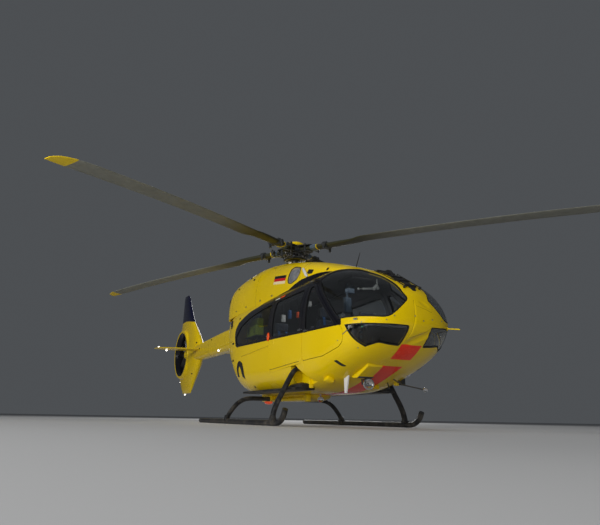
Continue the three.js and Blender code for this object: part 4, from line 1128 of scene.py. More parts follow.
boom_rings = smooth_rows(boom_rows, 0.15, 4)
fan_centre = from_mast(-7.36, 0, 1.95)
fin_skin = skin([[(along + mast, y, z) for along, y in lens(lead, trail, thick)]
                 for z, lead, trail, thick in smooth_rows(fin_rows, 0.06, 3)])
shroud_half, shroud_radius = 0.22, 0.78
shroud_profile = [(0, -shroud_half), (0.66, -shroud_half), (0.72, -0.212), (0.75, -0.175), (0.765, -0.12),
                  (0.776, -0.06), (shroud_radius, 0), (0.776, 0.06), (0.765, 0.12), (0.75, 0.175),
                  (0.72, 0.212), (0.66, shroud_half), (0, shroud_half)]
duct_profile = [(0, -0.28), (0.72, -0.28), (0.7, -0.235), (0.682, -0.222), (0.655, -0.205), (0.625, -0.175),
                (0.6, -0.14), (0.58, -0.105), (0.572, -0.07), (0.572, 0.11), (0.58, 0.16), (0.6, 0.21),
                (0.615, 0.235), (0.622, 0.28), (0, 0.28)]
duct = turned(duct_profile, 96, fan_centre, "y")
shroud = combine(fin_skin, turned(shroud_profile, 96, fan_centre, "y"), "UNION")
shroud = cut(shroud, duct, boom_skin(0.0004))
piece("boom_skin", boom_skin(0), paint_tail, stands_for=["tail_boom"])
piece("fin_and_shroud", shroud, paint_tail, stands_for=["tail_shroud"], sharp=40)

stab_rows = [(0, -5.56, -6.12, 0.034), (1.23, -5.86, -6.27, 0.022), (1.3, -5.93, -6.25, 0.01)]
stab_skin = skin([[(along + mast, y, 1.95 + thick) for along, thick in lens(lead, trail, half, 40)]
                  for y, lead, trail, half in smooth_rows(stab_rows, 0.1, 3)])
stab_half = cut(stab_skin, boom_skin(0.0004), fin_skin)
pair("stabiliser_half", stab_half, paint_yellow, cad="stabiliser")
print("shroud", len(shroud.faces), "faces")

# %% [markdown]
# ## Tail rotor
# Ten twisted blades turn in the duct on a dished hub. Behind them eleven fixed vanes hold the
# gear housing. A blade is one lofted section row, copied round the hub.

# %% Fan blades, hub and vanes
def ring_of(bm, count, centre, axis, start=0.0):
    parts = []
    for i in range(count):
        copy = bm.copy()
        turn = Matrix.Rotation(start + 2 * math.pi * i / count, 4, axis)
        bmesh.ops.transform(copy,
                            matrix=Matrix.Translation(centre) @ turn @ Matrix.Translation(-Vector(centre)),
                            verts=copy.verts)
        parts.append(copy)
    return together(*parts)


def twisted_blade(inner, outer, chord, thick, twist_in, twist_out, middle):
    rings = []
    for i in range(9):
        share = i / 8
        out = inner + (outer - inner) * share
        turn = math.radians(twist_in + (twist_out - twist_in) * share)
        ring = []
        for a, b in lens(chord / 2, -chord / 2, thick / 2 * (1.4 - 0.8 * share), 20):
            ring.append((fan_centre.x + out, middle + a * math.sin(turn) + b * math.cos(turn),
                         fan_centre.z + a * math.cos(turn) - b * math.sin(turn)))
        rings.append(ring)
    return skin(rings)


fan_middle = -0.04
fan_blades = ring_of(twisted_blade(0.1, 0.56, 0.092, 0.014, 48, 30, fan_middle), 10, fan_centre, "Y")
fan_hub = turned([(0, -0.052), (0.03, -0.052), (0.04, -0.044), (0.075, -0.044), (0.1, -0.036),
                  (0.122, -0.022), (0.13, -0.01), (0.13, 0.032), (0.122, 0.04), (0, 0.04)], 64,
                  fan_centre + Vector((0, fan_middle, 0)), "y")
fan_bolt = rod(fan_centre + Vector((0.1, fan_middle - 0.045, 0)), fan_centre + Vector((0.1, fan_middle, 0)),
               0.008, sides=6)
fan_bolts = ring_of(fan_bolt, 10, fan_centre, "Y", 0.3)
piece("fan_blades", fan_blades, paint_black, "tail_fan", ["tail_rotor"], "dark_blade", 50)
piece("fan_hub", fan_hub, paint_yellow, "tail_fan")
piece("fan_bolts", fan_bolts, steel, "tail_fan")

vane_ring = ring_of(skin([[(fan_centre.x + out, 0.07 + a, fan_centre.z + b)
                           for a, b in lens(0.036, -0.036, 0.008, 20)]
                          for out in (0.1, 0.335, 0.5715)]), 11, fan_centre, "Y", math.pi / 11)
housing = turned([(0, 0.0055), (0.1, 0.0055), (0.125, 0.0055), (0.13, 0.012), (0.13, 0.12), (0.118, 0.15),
                  (0.085, 0.18), (0.07, 0.188), (0, 0.19)], 64, fan_centre, "y")
piece("fixed_vanes", vane_ring, paint_black, stands_for=["tail_stator"], slot="yellow_paint", sharp=50)
piece("fan_gear_housing", housing, paint_yellow)
print("fan", len(fan_blades.faces), "faces, vanes", len(vane_ring.faces))

# %% [markdown]
# ## Landing gear
# Two skids are bent up at the front and carried by two arched cross tubes. The tubes are swept
# along a smoothed line. Each tube is clamped to its skid by a saddle with bolts.

# %% Swept tubes
def smooth_path(points, step=0.05):
    return [Vector(p) for p in smooth_rows([tuple(p) for p in points], step, 3)]


def pipe(points, across, half_across, half_in_plane, sides=20):
    normal = Vector(across)
    rings = []
    for i, here in enumerate(points):
        ahead = (points[min(i + 1, len(points) - 1)] - points[max(i - 1, 0)]).normalized()
        in_plane = ahead.cross(normal)
        rings.append([tuple(here + normal * (half_across * c) + in_plane * (half_in_plane * s))
                      for c, s in circle(sides)])
    return skin(rings)


skid_y, skid_radius = 1.2, 0.042
skid_points = [(-1.92, 0.042), (1.66, 0.042), (1.77, 0.052), (1.87, 0.09), (1.945, 0.15), (2.0, 0.24)]
skid_line = smooth_path([(x + mast, skid_y, z) for x, z in skid_points], 0.04)
pair("skid", pipe(skid_line, (0, 1, 0), skid_radius, skid_radius, 24), paint_black, cad="skid_tube")

front_half = [(1.2, 0.06), (1.19, 0.16), (1.14, 0.305), (1.03, 0.5), (0.915, 0.7), (0.85, 0.8),
              (0.79, 0.848), (0.7, 0.862), (0, 0.862)]
rear_half = [(1.2, 0.06), (1.18, 0.13), (1.1, 0.25), (0.97, 0.38), (0.84, 0.44), (0.7, 0.455), (0, 0.455)]


def cross_tube(half, x, half_along, half_in_plane):
    whole = half + [(-y, z) for y, z in reversed(half[:-1])]
    return pipe(smooth_path([(x + mast, y, z) for y, z in whole], 0.06), (1, 0, 0), half_along,
                half_in_plane, 28)


def saddle(x):
    sleeve = rod((x - 0.08 + mast, skid_y, skid_radius), (x + 0.08 + mast, skid_y, skid_radius), 0.052,
                 chamfer=0.004)
    bolts = [rod((x + dx + mast, skid_y + dy, 0.06), (x + dx + mast, skid_y + dy, 0.1), 0.008, sides=6)
             for dx in (-0.06, 0.06) for dy in (-0.03, 0.03)]
    boss = rod((x + mast, skid_y, 0.06), (x + mast, skid_y - 0.006, 0.15), 0.058, 0.044, chamfer=0.004)
    return on_both_sides(together(sleeve, boss, *bolts))


def gear(name, half, x, half_along, half_in_plane):
    tube = cross_tube(half, x, half_along, half_in_plane)
    floor_level = slab(-3, 3, -1.4, 1.4, -0.5, 0.002, 0)
    piece(name, cut(tube, floor_level), paint_black, stands_for=["cross_" + name])
    piece(name + "_saddles", cut(saddle(x), floor_level), paint_black)


gear("tube_front", front_half, 1.57, 0.058, 0.036)
gear("tube_rear", rear_half, -0.38, 0.04, 0.04)

step_board = slab(-0.32, 1.72, 0.56, 0.925, 0.53, 0.565, 0.008, 3)
step_board = cut(step_board, cabin_skin(0.0005))
pair("step_board", step_board, paint_black, cad="step")
hump_rows = [(1.1, 0.07, 0.575), (1.3, 0.11, 0.60), (1.5, 0.12, 0.636), (1.68, 0.12, 0.64),
             (1.80, 0.10, 0.615)]
step_hump = skin([oval(x, half, 0.55, 0.566, high, 2.6, 2.0, 10)
                  for x, half, high in smooth_rows(hump_rows, 0.04, 3)])
bmesh.ops.translate(step_hump, verts=step_hump.verts, vec=(0, 0.73, 0))
step_hump = cut(step_hump, cabin_skin(0.0005))
pair("step_hump", step_hump, paint_black)
grip_strips = together(*[slab(x, x + 0.05, 0.79 if 1.1 < x < 1.8 else 0.62, 0.91, 0.564, 0.5675, 0.001)
                         for x in [-0.26 + 0.1 * i for i in range(19)] if not 1.42 < x < 1.72])
pair("step_grip", cut(grip_strips, cabin_skin(0.001)), rubber)

belly_rows = [(-0.72, 0.12, 0.47), (-0.56, 0.3, 0.415), (0.64, 0.32, 0.4), (0.88, 0.23, 0.425),
              (0.98, 0.11, 0.47)]
belly = skin([oval(x, w, low, 0.515, 0.56, 2.5, 2.5, 12) for x, w, low in smooth_rows(belly_rows, 0.08, 3)])
belly = cut(belly, cabin_skin(0.0005), cross_tube(rear_half, -0.38, 0.041, 0.041))
piece("belly_cover", belly, paint_yellow, stands_for=["belly_fairing"])
print("landing gear done")

# %% [markdown]
# ## Main rotor
# Four blades sit on a bearingless hub: their roots are flexible arms inside a cuff, bolted to the
# hub plates. A blade is a lens-shaped section that widens outboard of the cuff and hangs under
# its own weight when it is parked.

# %% Blades
rotor_plane, rotor_heading = 3.3, math.radians(-57.8)
blade_rows = [(0.1503, 0.07, -0.07, 0.045), (0.33, 0.075, -0.075, 0.04), (0.52, 0.095, -0.095, 0.045),
              (0.9, 0.1, -0.11, 0.045), (1.25, 0.105, -0.14, 0.035), (1.5, 0.085, -0.24, 0.02),
              (4.9, 0.085, -0.24, 0.017), (5.25, 0.06, -0.235, 0.014), (5.42, 0.0, -0.23, 0.01),
              (5.5, -0.1, -0.22, 0.006)]


rotor_radius, tip_drop = 5.5, 0.25


def blade_drop(out):
    return tip_drop * (out / rotor_radius) ** 2


def rotor_blade():
    rings = []
    for out, nose, tail, thick in smooth_rows(blade_rows, 0.09, 3):
        rings.append([(mast + out, y, rotor_plane - blade_drop(out) + up)
                      for y, up in lens(nose, tail, thick, 36)])
    return skin(rings)


def about_mast(bm, angle):
    made = bm.copy()
    turn = Matrix.Translation((mast, 0, 0)) @ Matrix.Rotation(angle, 4,
                                                              "Z") @ Matrix.Translation((-mast, 0, 0))
    bmesh.ops.transform(made, matrix=turn, verts=made.verts)
    return made


one_blade = rotor_blade()
for i in range(4):
    piece(f"blade_{i + 1}", about_mast(one_blade, rotor_heading + i * math.pi / 2), paint_blade,
          "main_rotor", [f"rotor_blade_{i + 1}"], "grey_blade", 50)
print("blade", len(one_blade.faces), "faces")

# %% [markdown]
# ## Fittings at the blade roots
# Each root is held between two fork plates by a pair of long bolts. A stiff blue-grey cuff slides
# over the root and ends in a yellow band. Farther out a small pendulum weight hangs on either end
# of a cross shaft; the two weights swing against the blade's flapping and calm it.

# %% Fork plates, bolts, cuff, horn and pendulum weights of one blade
def upright(x, y, low, high, radius, sides=20, chamfer=0.002):
    return rod((mast + x, y, rotor_plane + low), (mast + x, y, rotor_plane + high), radius, sides=sides,
               chamfer=chamfer)


def sleeve(rows, sides=40):
    return skin([[(mast + x, half * c, rotor_plane - blade_drop(x) + high * math.copysign(abs(s) ** 0.7, s))
                  for c, s in circle(sides)] for x, half, high in rows])


def fork_plate(height):
    outline = [(0.05, -0.13, 0.03), (0.2, -0.115, 0.05), (0.36, -0.085, 0.04), (0.4, 0.0, 0.05),
               (0.36, 0.085, 0.04), (0.2, 0.115, 0.05), (0.05, 0.13, 0.03)]
    plate = cutter("z", outline, rotor_plane + height, rotor_plane + height + 0.016)
    return cut(plate, upright(0.15, 0.0, height - 0.1, height + 0.1, 0.03, 32, 0))


def bolt(x, y):
    return together(upright(x, y, -0.098, 0.102, 0.011), upright(x, y, 0.078, 0.094, 0.021, 6),
                    upright(x, y, 0.07, 0.078, 0.026, 24), upright(x, y, -0.092, -0.076, 0.019, 6),
                    upright(x, y, -0.076, -0.07, 0.026, 24))


fork = together(fork_plate(0.054), fork_plate(-0.07),
                *[upright(0.26, y, -0.054, 0.054, 0.026) for y in (0.062, -0.062)])
root_bolts = together(bolt(0.26, 0.062), bolt(0.26, -0.062), bolt(0.115, 0.085), bolt(0.115, -0.085))
cuff = sleeve([(0.375, 0.078, 0.042), (0.378, 0.092, 0.052), (0.4, 0.1, 0.056), (0.47, 0.108, 0.058),
               (0.5, 0.104, 0.055), (0.504, 0.098, 0.05)])
band_ring = sleeve([(0.508, 0.094, 0.049), (0.509, 0.1, 0.053), (0.523, 0.1, 0.053), (0.524, 0.094, 0.049)])
horn = together(slab(0.395, 0.455, 0.07, 0.185, rotor_plane - 0.03, rotor_plane + 0.022, 0.008, 3),
                upright(0.425, 0.17, -0.06, 0.045, 0.014), upright(0.425, 0.17, 0.03, 0.05, 0.02, 6),
                upright(0.425, 0.085, -0.062, 0.06, 0.012), upright(0.425, 0.11, 0.02, 0.03, 0.018, 6))
drop = -blade_drop(0.7)
shaft = rod((mast + 0.7, -0.118, rotor_plane + drop), (mast + 0.7, 0.118, rotor_plane + drop), 0.02,
            chamfer=0.003)
clamp = together(slab(0.655, 0.745, -0.104, 0.104, rotor_plane + drop - 0.056, rotor_plane + drop + 0.056,
                      0.012, 3),
                 *[upright(0.7 + dx, dy, drop - 0.066, drop + 0.068, 0.008, 6) for dx in (-0.03, 0.03)
                   for dy in (-0.07, 0.07)])
weights = together(*[rod((mast + 0.7, hand * 0.105, rotor_plane + drop - 0.006),
                         (mast + 0.7, hand * 0.15, rotor_plane + drop - 0.006),
                         0.041, chamfer=0.007) for hand in (-1, 1)],
                   *[upright(0.7, hand * 0.128, drop - 0.1, drop - 0.03, 0.024, 24, 0.004)
                     for hand in (-1, 1)])
root_pieces = [("fork", fork, hub_grey, "mast_steel"), ("root_bolts", root_bolts, steel, "mast_steel"),
               ("cuff", cuff, cuff_paint, "engine_metal"),
               ("cuff_band", band_ring, paint_yellow, "yellow_paint"),
               ("horn", horn, hub_grey, "mast_steel"),
               ("pendulum", together(shaft, clamp, weights), hub_grey, "mast_steel")]
for i in range(4):
    for label, shape, material, kind in root_pieces:
        piece(f"{label}_{i + 1}", about_mast(shape, rotor_heading + i * math.pi / 2), material,
              "main_rotor", slot=kind)
print(len(root_pieces), "fittings on each blade")

# %% [markdown]
# ## Hub and control rings
# The hub carries the forks between two flanges with a ring of studs, under a dome-shaped yellow
# cap. Below it two rings ride round the mast. The lower one is pushed up and down by three short
# actuators; the upper one turns with the rotor and moves the blade horns through four links.

# %% Mast, hub and cap
hub = turned([(0, -0.098), (0.13, -0.098), (0.165, -0.09), (0.17, -0.074), (0.17, -0.04), (0.155, -0.03),
              (0.15, 0.03), (0.17, 0.04), (0.17, 0.062), (0.16, 0.074), (0.1, 0.076), (0, 0.076)], 64,
              (mast, 0, rotor_plane))
cap = turned([(0, 0.07), (0.17, 0.076), (0.18, 0.085), (0.185, 0.1), (0.182, 0.115), (0.17, 0.135),
              (0.14, 0.155), (0.095, 0.168), (0.05, 0.177), (0, 0.18)], 64, (mast, 0, rotor_plane))
studs = together(ring_of(upright(0.172, 0, 0.06, 0.088, 0.009, 6), 20, (mast, 0, 0), "Z", 0.1),
                 ring_of(upright(0.15, 0, -0.112, -0.09, 0.009, 6), 16, (mast, 0, 0), "Z", 0.1),
                 ring_of(upright(0.165, 0, 0.118, 0.142, 0.006, 6), 8, (mast, 0, 0), "Z", 0.3))
mast_tube = turned([(0, -0.40), (0.062, -0.40), (0.062, -0.2), (0.072, -0.19), (0.072, -0.165),
                    (0.062, -0.155), (0.062, -0.0905), (0, -0.0905)], 64, (mast, 0, rotor_plane))
piece("hub_body", hub, hub_grey, "main_rotor", ["rotor_hub"], "mast_steel")
piece("hub_cap", cap, paint_yellow, "main_rotor")
piece("hub_studs", studs, steel, "main_rotor")
piece("mast_tube", mast_tube, steel, "main_rotor", ["rotor_mast"])

# %% Control rings, links and actuators
ring_upper = turned([(0.0625, -0.178), (0.12, -0.176), (0.2, -0.172), (0.213, -0.178), (0.215, -0.188),
                     (0.205, -0.194), (0.12, -0.196), (0.0625, -0.196), (0.0625, -0.178)], 64,
                     (mast, 0, rotor_plane))
ring_lower = turned([(0.0625, -0.198), (0.15, -0.198), (0.2, -0.2), (0.205, -0.208), (0.19, -0.216),
                     (0.1, -0.222), (0.075, -0.226), (0.0625, -0.226), (0.0625, -0.198)], 64,
                     (mast, 0, rotor_plane))
links, ends = [], []
for i in range(4):
    foot, head = rotor_heading + math.radians(18 + 90 * i), rotor_heading + math.radians(90 * i)
    low = Vector((mast + 0.2 * math.cos(foot), 0.2 * math.sin(foot), 3.112))
    top = Vector((mast + 0.33 * math.cos(head) - 0.095 * math.sin(head),
                  0.33 * math.sin(head) + 0.095 * math.cos(head), 3.318))
    way = (top - low).normalized()
    links += [rod(low, top, 0.0085, sides=12), rod(low + way * 0.06, top - way * 0.06, 0.0125, sides=6),
              rod(low, low + way * 0.035, 0.013, sides=12, chamfer=0.002),
              rod(top - way * 0.035, top, 0.013, sides=12, chamfer=0.002)]
    ends += [ball(spot, 0.017, 16, 10) for spot in (low, top)]
actuators = together(*[rod((mast + 0.165 * math.cos(a), 0.165 * math.sin(a), 2.9),
                           (mast + 0.165 * math.cos(a), 0.165 * math.sin(a), 3.085),
                           0.016, sides=16, chamfer=0.002) for a in (0.4, 2.5, 4.6)])
ring_ear = slab(0.15, 0.235, -0.02, 0.02, 3.1, 3.126, 0.005)
turning = together(*[about_mast(ring_ear, math.radians(18 + 90 * i) + rotor_heading) for i in range(4)])
piece("control_ring_upper", together(ring_upper, turning), hub_grey, "main_rotor", ["swashplate"],
      "engine_metal")
piece("control_ring_lower", ring_lower, alloy, slot="engine_metal")
piece("pitch_links", together(*links), hub_grey, "main_rotor", slot="engine_metal")
piece("link_balls", together(*ends), steel, "main_rotor", slot="engine_metal")
piece("control_actuators", actuators, alloy, slot="engine_metal")
print("hub", len(hub.faces), "faces,", len(links), "link parts")

# %% [markdown]
# ## Search light and the fittings under the belly
# The search light is a bright round lamp: a domed shell, a polished ring and a deep reflector
# round its bulb, hung in a yoke under its fairing. Small boxes, posts and lamps fill the belly.

# %% Search light
lamp_middle = from_mast(2.6, -0.2, 0.596)
lamp_way = Vector((0.9, -0.33, -0.1)).normalized()


def faced(bm, place, way):
    turn = way.to_track_quat("Z", "Y").to_matrix().to_4x4()
    bmesh.ops.transform(bm, matrix=Matrix.Translation(place) @ turn, verts=bm.verts)
    return bm


lamp_parts = {
    "shell": (chrome, 48, [(0, -0.075), (0.03, -0.072), (0.055, -0.058), (0.068, -0.035), (0.073, -0.005),
                           (0.0745, 0.03), (0.071, 0.032), (0.069, 0.02), (0, 0.01)]),
    "bezel": (chrome, 48, [(0.066, 0.028), (0.078, 0.026), (0.08, 0.034), (0.076, 0.045), (0.067, 0.047),
                           (0.063, 0.04), (0.066, 0.028)]),
    "bowl": (chrome, 48, [(0, 0.012), (0.02, 0.013), (0.042, 0.02), (0.06, 0.034), (0.066, 0.044),
                          (0.064, 0.044), (0.058, 0.035), (0.04, 0.022), (0.02, 0.0155), (0, 0.015)]),
    "bulb": (alloy, 24, [(0, 0.014), (0.012, 0.014), (0.012, 0.03), (0.008, 0.036), (0, 0.038)]),
}
for label, (metal, steps, profile) in lamp_parts.items():
    piece("search_lamp_" + label, faced(turned(profile, steps), lamp_middle, lamp_way), metal,
          stands_for=["search_light"] if label == "shell" else ())
yoke = together(strut((2.58, -0.2, 0.675), (2.58, -0.2, 0.655), 0.034, 0.003, 24),
                strut((2.58, -0.2, 0.69), (2.58, -0.2, 0.668), 0.022),
                slab(2.555, 2.605, -0.29, -0.11, 0.65, 0.66, 0.004),
                slab(2.57, 2.6, -0.29, -0.281, 0.58, 0.655, 0.003),
                slab(2.57, 2.6, -0.119, -0.11, 0.58, 0.655, 0.003),
                strut((2.586, -0.293, 0.592), (2.586, -0.107, 0.592), 0.01))
piece("search_lamp_yoke", yoke, hub_grey, slot="black_paint")

# %% Boxes, posts, lamps and aerials under the belly
belly_boxes = together(
    set_on(cabin_tree, block(-0.06, 0.06, -0.055, 0.055, -0.02, 0.055, 0.01), (2.235, -0.61, 0.672)),
    slab(2.18, 2.25, 0.17, 0.24, 0.55, 0.66, 0.008),
    slab(2.26, 2.32, 0.49, 0.55, 0.61, 0.71, 0.008), slab(1.75, 1.81, -0.70, -0.63, 0.555, 0.68, 0.006),
    slab(-0.74, -0.3, -0.36, -0.24, 0.41, 0.56, 0.015), slab(-0.3, 0.95, -0.36, -0.28, 0.40, 0.45, 0.015),
    slab(0.95, 1.05, -0.34, -0.26, 0.38, 0.50, 0.012))
piece("belly_boxes", belly_boxes, paint_yellow, sharp=40)
piece("belly_grey_box", together(slab(2.27, 2.37, 0.56, 0.63, 0.62, 0.74, 0.008),
                                 strut((2.36, 0.3, 0.68), (2.40, 0.3, 0.57), 0.008),
                                 knob((2.40, 0.3, 0.565), 0.014)),
      hub_grey, slot="black_paint")
landing_lamp = turned([(0, -0.05), (0.03, -0.045), (0.046, -0.02), (0.05, 0.0), (0.05, 0.012),
                       (0.044, 0.014), (0.03, 0.004), (0, -0.002)], 32)
lamp_spots = [((1.12, -0.12, 0.42), (0.9, -0.4, -0.1)), ((2.573, 0.522, 0.775), (0.8, 0.1, -0.5))]
landing_lamps = together(*[faced(landing_lamp.copy(), from_mast(x, y, z), Vector(way).normalized())
                           for (x, y, z), way in lamp_spots],
                         strut((1.10, -0.11, 0.53), (1.10, -0.11, 0.44), 0.014),
                         strut((2.56, 0.52, 0.78), (2.56, 0.52, 0.75), 0.012))
piece("landing_lamps", landing_lamps, chrome)
beacon = turned([(0, 0), (0.05, 0), (0.052, -0.01), (0.05, -0.04), (0.036, -0.062), (0.015, -0.072),
                 (0, -0.074)], 32)
bmesh.ops.scale(beacon, vec=(3.0, 1.0, 0.75), verts=beacon.verts)
bmesh.ops.translate(beacon, vec=(-0.55 + mast, -0.3, 0.412), verts=beacon.verts)
piece("belly_beacon", beacon, orange_lens)
probe = faced(turned([(0, 0), (0.028, 0), (0.024, 0.008), (0.009, 0.014), (0.009, 0.16), (0, 0.17)], 16),
              from_mast(3.44, 0.528, 1.314), Vector((0.7, 0.7, -0.1)).normalized())
piece("nose_probe", probe, paint_yellow)
print("belly fittings placed")

# %% [markdown]
# Thin arms reach out under the nose. One carries a small chrome lamp. At the back of the cabin a
# dark cover hides the hinge line of the clamshell door, and red and white warning strips sit at
# the head of the sliding door.

# %% Arm with a lamp, hinge covers and warning strips
lamp_arm = together(strut((2.636, 0.3, 0.66), (2.70, 0.3, 0.60), 0.011),
                    strut((2.70, 0.3, 0.60), (3.17, 0.3, 0.512), 0.009),
                    strut((2.70, 0.3, 0.60), (2.60, 0.24, 0.68), 0.008), knob((2.70, 0.3, 0.60), 0.013))
piece("lamp_arm", lamp_arm, hub_grey, slot="black_paint")
arm_end = from_mast(3.19, 0.3, 0.508)
arm_lamp = faced(landing_lamp.copy(), arm_end, Vector((0.9, -0.2, -0.25)).normalized())
bmesh.ops.scale(arm_lamp, vec=(0.6, 0.6, 0.6), verts=arm_lamp.verts, space=Matrix.Translation(-arm_end))
piece("arm_lamp", arm_lamp, chrome)
hinge_cover = together(*[set_on(cabin_tree, block(-0.016, 0.016, -0.045, 0.045, -0.004, 0.014, 0.004),
                                (-1.13, 0.82, z), (0, 0, 1))
                         for z in (1.20, 1.54)])
bmesh.ops.remove_doubles(hinge_cover, verts=hinge_cover.verts, dist=1e-6)
pair("hinge_cover", hinge_cover, paint_black)
for label, material, spot in (("red", orange, (0.90, 0.70, 2.13)),
                              ("white", paint_white, (0.71, 0.70, 2.115))):
    warning = block(-0.085, 0.085, -0.014, 0.014, -0.001, 0.003, 0.001)
    pair("warning_strip_" + label, set_on(cabin_tree, warning, spot), material)

# %% [markdown]
# Lights on the tail mark the machine at night: white lamps on the stabiliser tips and under the
# boom, and two on the edge of the fin. A lamp is a clear dome on a short metal base.

# %% Tail lights and vents
lamp_base = turned([(0, -0.004), (0.03, -0.004), (0.034, 0.002), (0.03, 0.012), (0, 0.012)], 24)
lamp_dome = turned([(0, 0.0115), (0.025, 0.0115), (0.025, 0.026), (0.018, 0.04), (0.008, 0.047),
                    (0, 0.049)], 24)
boom_tree = BVHTree.FromBMesh(boom_skin(0))
fin_tree = BVHTree.FromBMesh(shroud)
stab_tree = BVHTree.FromBMesh(stab_half)
lamp_places = [(boom_tree, (-3.88, -0.22, 1.70), (1, 0, 0)), (boom_tree, (-3.03, -0.22, 1.66), (1, 0, 0)),
               (fin_tree, (-7.993, 0, 1.13), (0, 1, 0)), (fin_tree, (-7.408, 0, 0.70), (0, 1, 0))]
bases = together(*[set_on(tree, lamp_base, spot, ahead) for tree, spot, ahead in lamp_places])
domes = together(*[set_on(tree, lamp_dome, spot, ahead) for tree, spot, ahead in lamp_places])
piece("tail_lamp_bases", bases, alloy)
piece("tail_lamp_domes", domes, lamp_white)
tip_lamp = together(set_on(stab_tree, lamp_dome, (-6.16, 1.19, 1.98)),
                    set_on(stab_tree, lamp_dome, (-6.0, 1.0, 1.92), (1, 0, 0)))
pair("tip_lamp", tip_lamp, lamp_white)
fin_vents = together(*[set_on(fin_tree, louvre, spot)
                       for spot in [(-5.95, -0.17, 2.05), (-6.05, -0.17, 2.2), (-6.43, -0.15, 1.30)]],
                     *[set_on(boom_tree, louvre, spot)
                       for spot in [(-5.586, -0.17, 1.95), (-4.5, -0.2, 2.08)]])
piece("tail_vents", fin_vents, paint_black)
seam_ring = cut(boom_skin(0.0006), boom_skin(-0.002))
boom_seams = together(*[kept(seam_ring, slab(x, x + 0.004, -0.4, 0.4, 1.4, 2.4, 0))
                        for x in (-4.75, -3.35)])
piece("boom_seams", boom_seams, rubber)
print("tail lamps", len(domes.faces), "faces")

# %% [markdown]
# A cable deflector runs down the middle post of the windshield. It is a low black strip held by
# clamps, with a notched cutter standing on its upper end. A wiper arm lies along each side of it.

# %% Cable deflector and wiper arms
def off_skin(spot, rise):
    place, normal, _, _ = cabin_tree.find_nearest(from_mast(*spot))
    return place + normal * rise


strip_outline = [(2.72, -0.07), (3.0, -0.075), (3.3, -0.06), (3.47, -0.03, 0.02), (3.47, 0.03, 0.02),
                 (3.3, 0.06), (3.0, 0.075), (2.72, 0.07)]
strip = kept(cut(cabin_skin(0.02), cabin_skin(0.0006)), cutter("z", strip_outline, 1.6, 2.6, 0.0, 0.03))
notched = [(2.61, 2.235), (2.69, 2.262, 0.02), (2.86, 2.20), (2.92, 2.208, 0.02), (2.99, 2.178),
           (3.04, 2.12), (3.06, 2.05), (2.70, 2.18)]
notched_blade = cutter("y", notched, -0.011, 0.011)
rounded(notched_blade, notched_blade.edges[:], 0.003)
clamp_spots = [(2.78, 0, 2.2), (2.95, 0, 2.12), (3.1, 0, 2.04), (3.25, 0, 1.95), (3.39, 0, 1.85)]
clamps = together(*[set_on(cabin_tree, block(-0.013, 0.013, -0.088, 0.088, -0.002, 0.03, 0.005, 3), spot)
                    for spot in clamp_spots])
bolts = together(*[set_on(cabin_tree, screw, (x, y, z), rise=0.029) for x, _, z in clamp_spots
                   for y in (-0.07, 0.07)])
piece("deflector_strip", together(strip, cut(notched_blade, cabin_skin(0.0006))), paint_black,
      stands_for=["wire_cutter_top"], sharp=40)
piece("deflector_clamps", clamps, paint_black)
piece("deflector_bolts", bolts, steel, slot="lamp_chrome")
pivot = (3.42, -0.125, 1.83)
arm_tip = off_skin((2.98, -0.105, 2.1), 0.034)
wiper = together(rod(off_skin(pivot, 0.0), off_skin(pivot, 0.04), 0.017, chamfer=0.003),
                 rod(off_skin(pivot, 0.028), arm_tip, 0.008, 0.005, 16),
                 rod(arm_tip, off_skin((2.96, -0.12, 2.11), 0.012), 0.007, sides=16),
                 rod(off_skin((3.25, -0.135, 1.94), 0.014), off_skin((2.74, -0.12, 2.2), 0.014), 0.006,
                     sides=16))
pair("wiper", wiper, paint_black)
print("deflector strip", len(strip.faces), "faces")

# %% [markdown]
# ## Cockpit
# Through the windshield the hood of the instrument panel, the sticks and the pedals show. The
# panel is a rounded body under an overhanging hood; its screens are dark glass set in thin frames.

# %% Instrument panel, console, sticks and pedals
room = cabin_skin(-0.045)
panel_body = together(slab(2.80, 2.955, -0.42, 0.42, 1.10, 1.352, 0.02, 3),
                      slab(2.70, 2.86, -0.13, 0.13, 0.9515, 1.15, 0.01))
panel_low = slab(2.70, 2.799, -0.12, 0.12, 1.151, 1.30, 0.012)
hood_rows = [(2.765, 0.40, 1.354, 0.022), (2.85, 0.42, 1.353, 0.035), (2.93, 0.40, 1.353, 0.03),
             (2.965, 0.36, 1.353, 0.016)]
hood = skin([oval(x, half, low, low + 0.006, low + high, 3.5, 2.0, 12)
             for x, half, low, high in smooth_rows(hood_rows, 0.03, 4)])
screen_places = (-0.31, -0.145, 0.145, 0.31)
screens, frames = [], []
for y in screen_places:
    frames.append(slab(2.789, 2.801, y - 0.07, y + 0.07, 1.155, 1.33, 0.004))
    screens.append(slab(2.7865, 2.795, y - 0.058, y + 0.058, 1.175, 1.315, 0.001))
knobs = together(*[rod((2.785 + mast, y + dy, 1.135), (2.802 + mast, y + dy, 1.135), 0.009, sides=12,
                       chamfer=0.002)
                   for y in screen_places for dy in (-0.045, -0.015, 0.015, 0.045)])
piece("panel_body", kept(panel_body, room), plastic, stands_for=["instrument_panel"], sharp=40)
piece("panel_column", kept(panel_low, room), plastic, sharp=40)
piece("panel_hood", kept(hood, room), hood_grey, sharp=40)
piece("panel_frames", together(*frames), paint_black)
piece("panel_screens", together(*screens), screen_glass)
piece("panel_knobs", knobs, hub_grey)
console = together(slab(2.16, 2.69, -0.105, 0.105, 0.9515, 1.10, 0.012, 3),
                   *[slab(x, x + 0.07, -0.085, 0.085, 1.098, 1.106, 0.002)
                     for x in (2.2, 2.29, 2.38, 2.47, 2.56)],
                   *[rod((x + mast, y, 1.105), (x + mast, y, 1.122), 0.006, sides=10)
                     for x in (2.22, 2.25, 2.40, 2.43, 2.59)
                     for y in (-0.06, -0.03, 0.0, 0.03, 0.06)])
piece("centre_console", console, plastic, sharp=40)


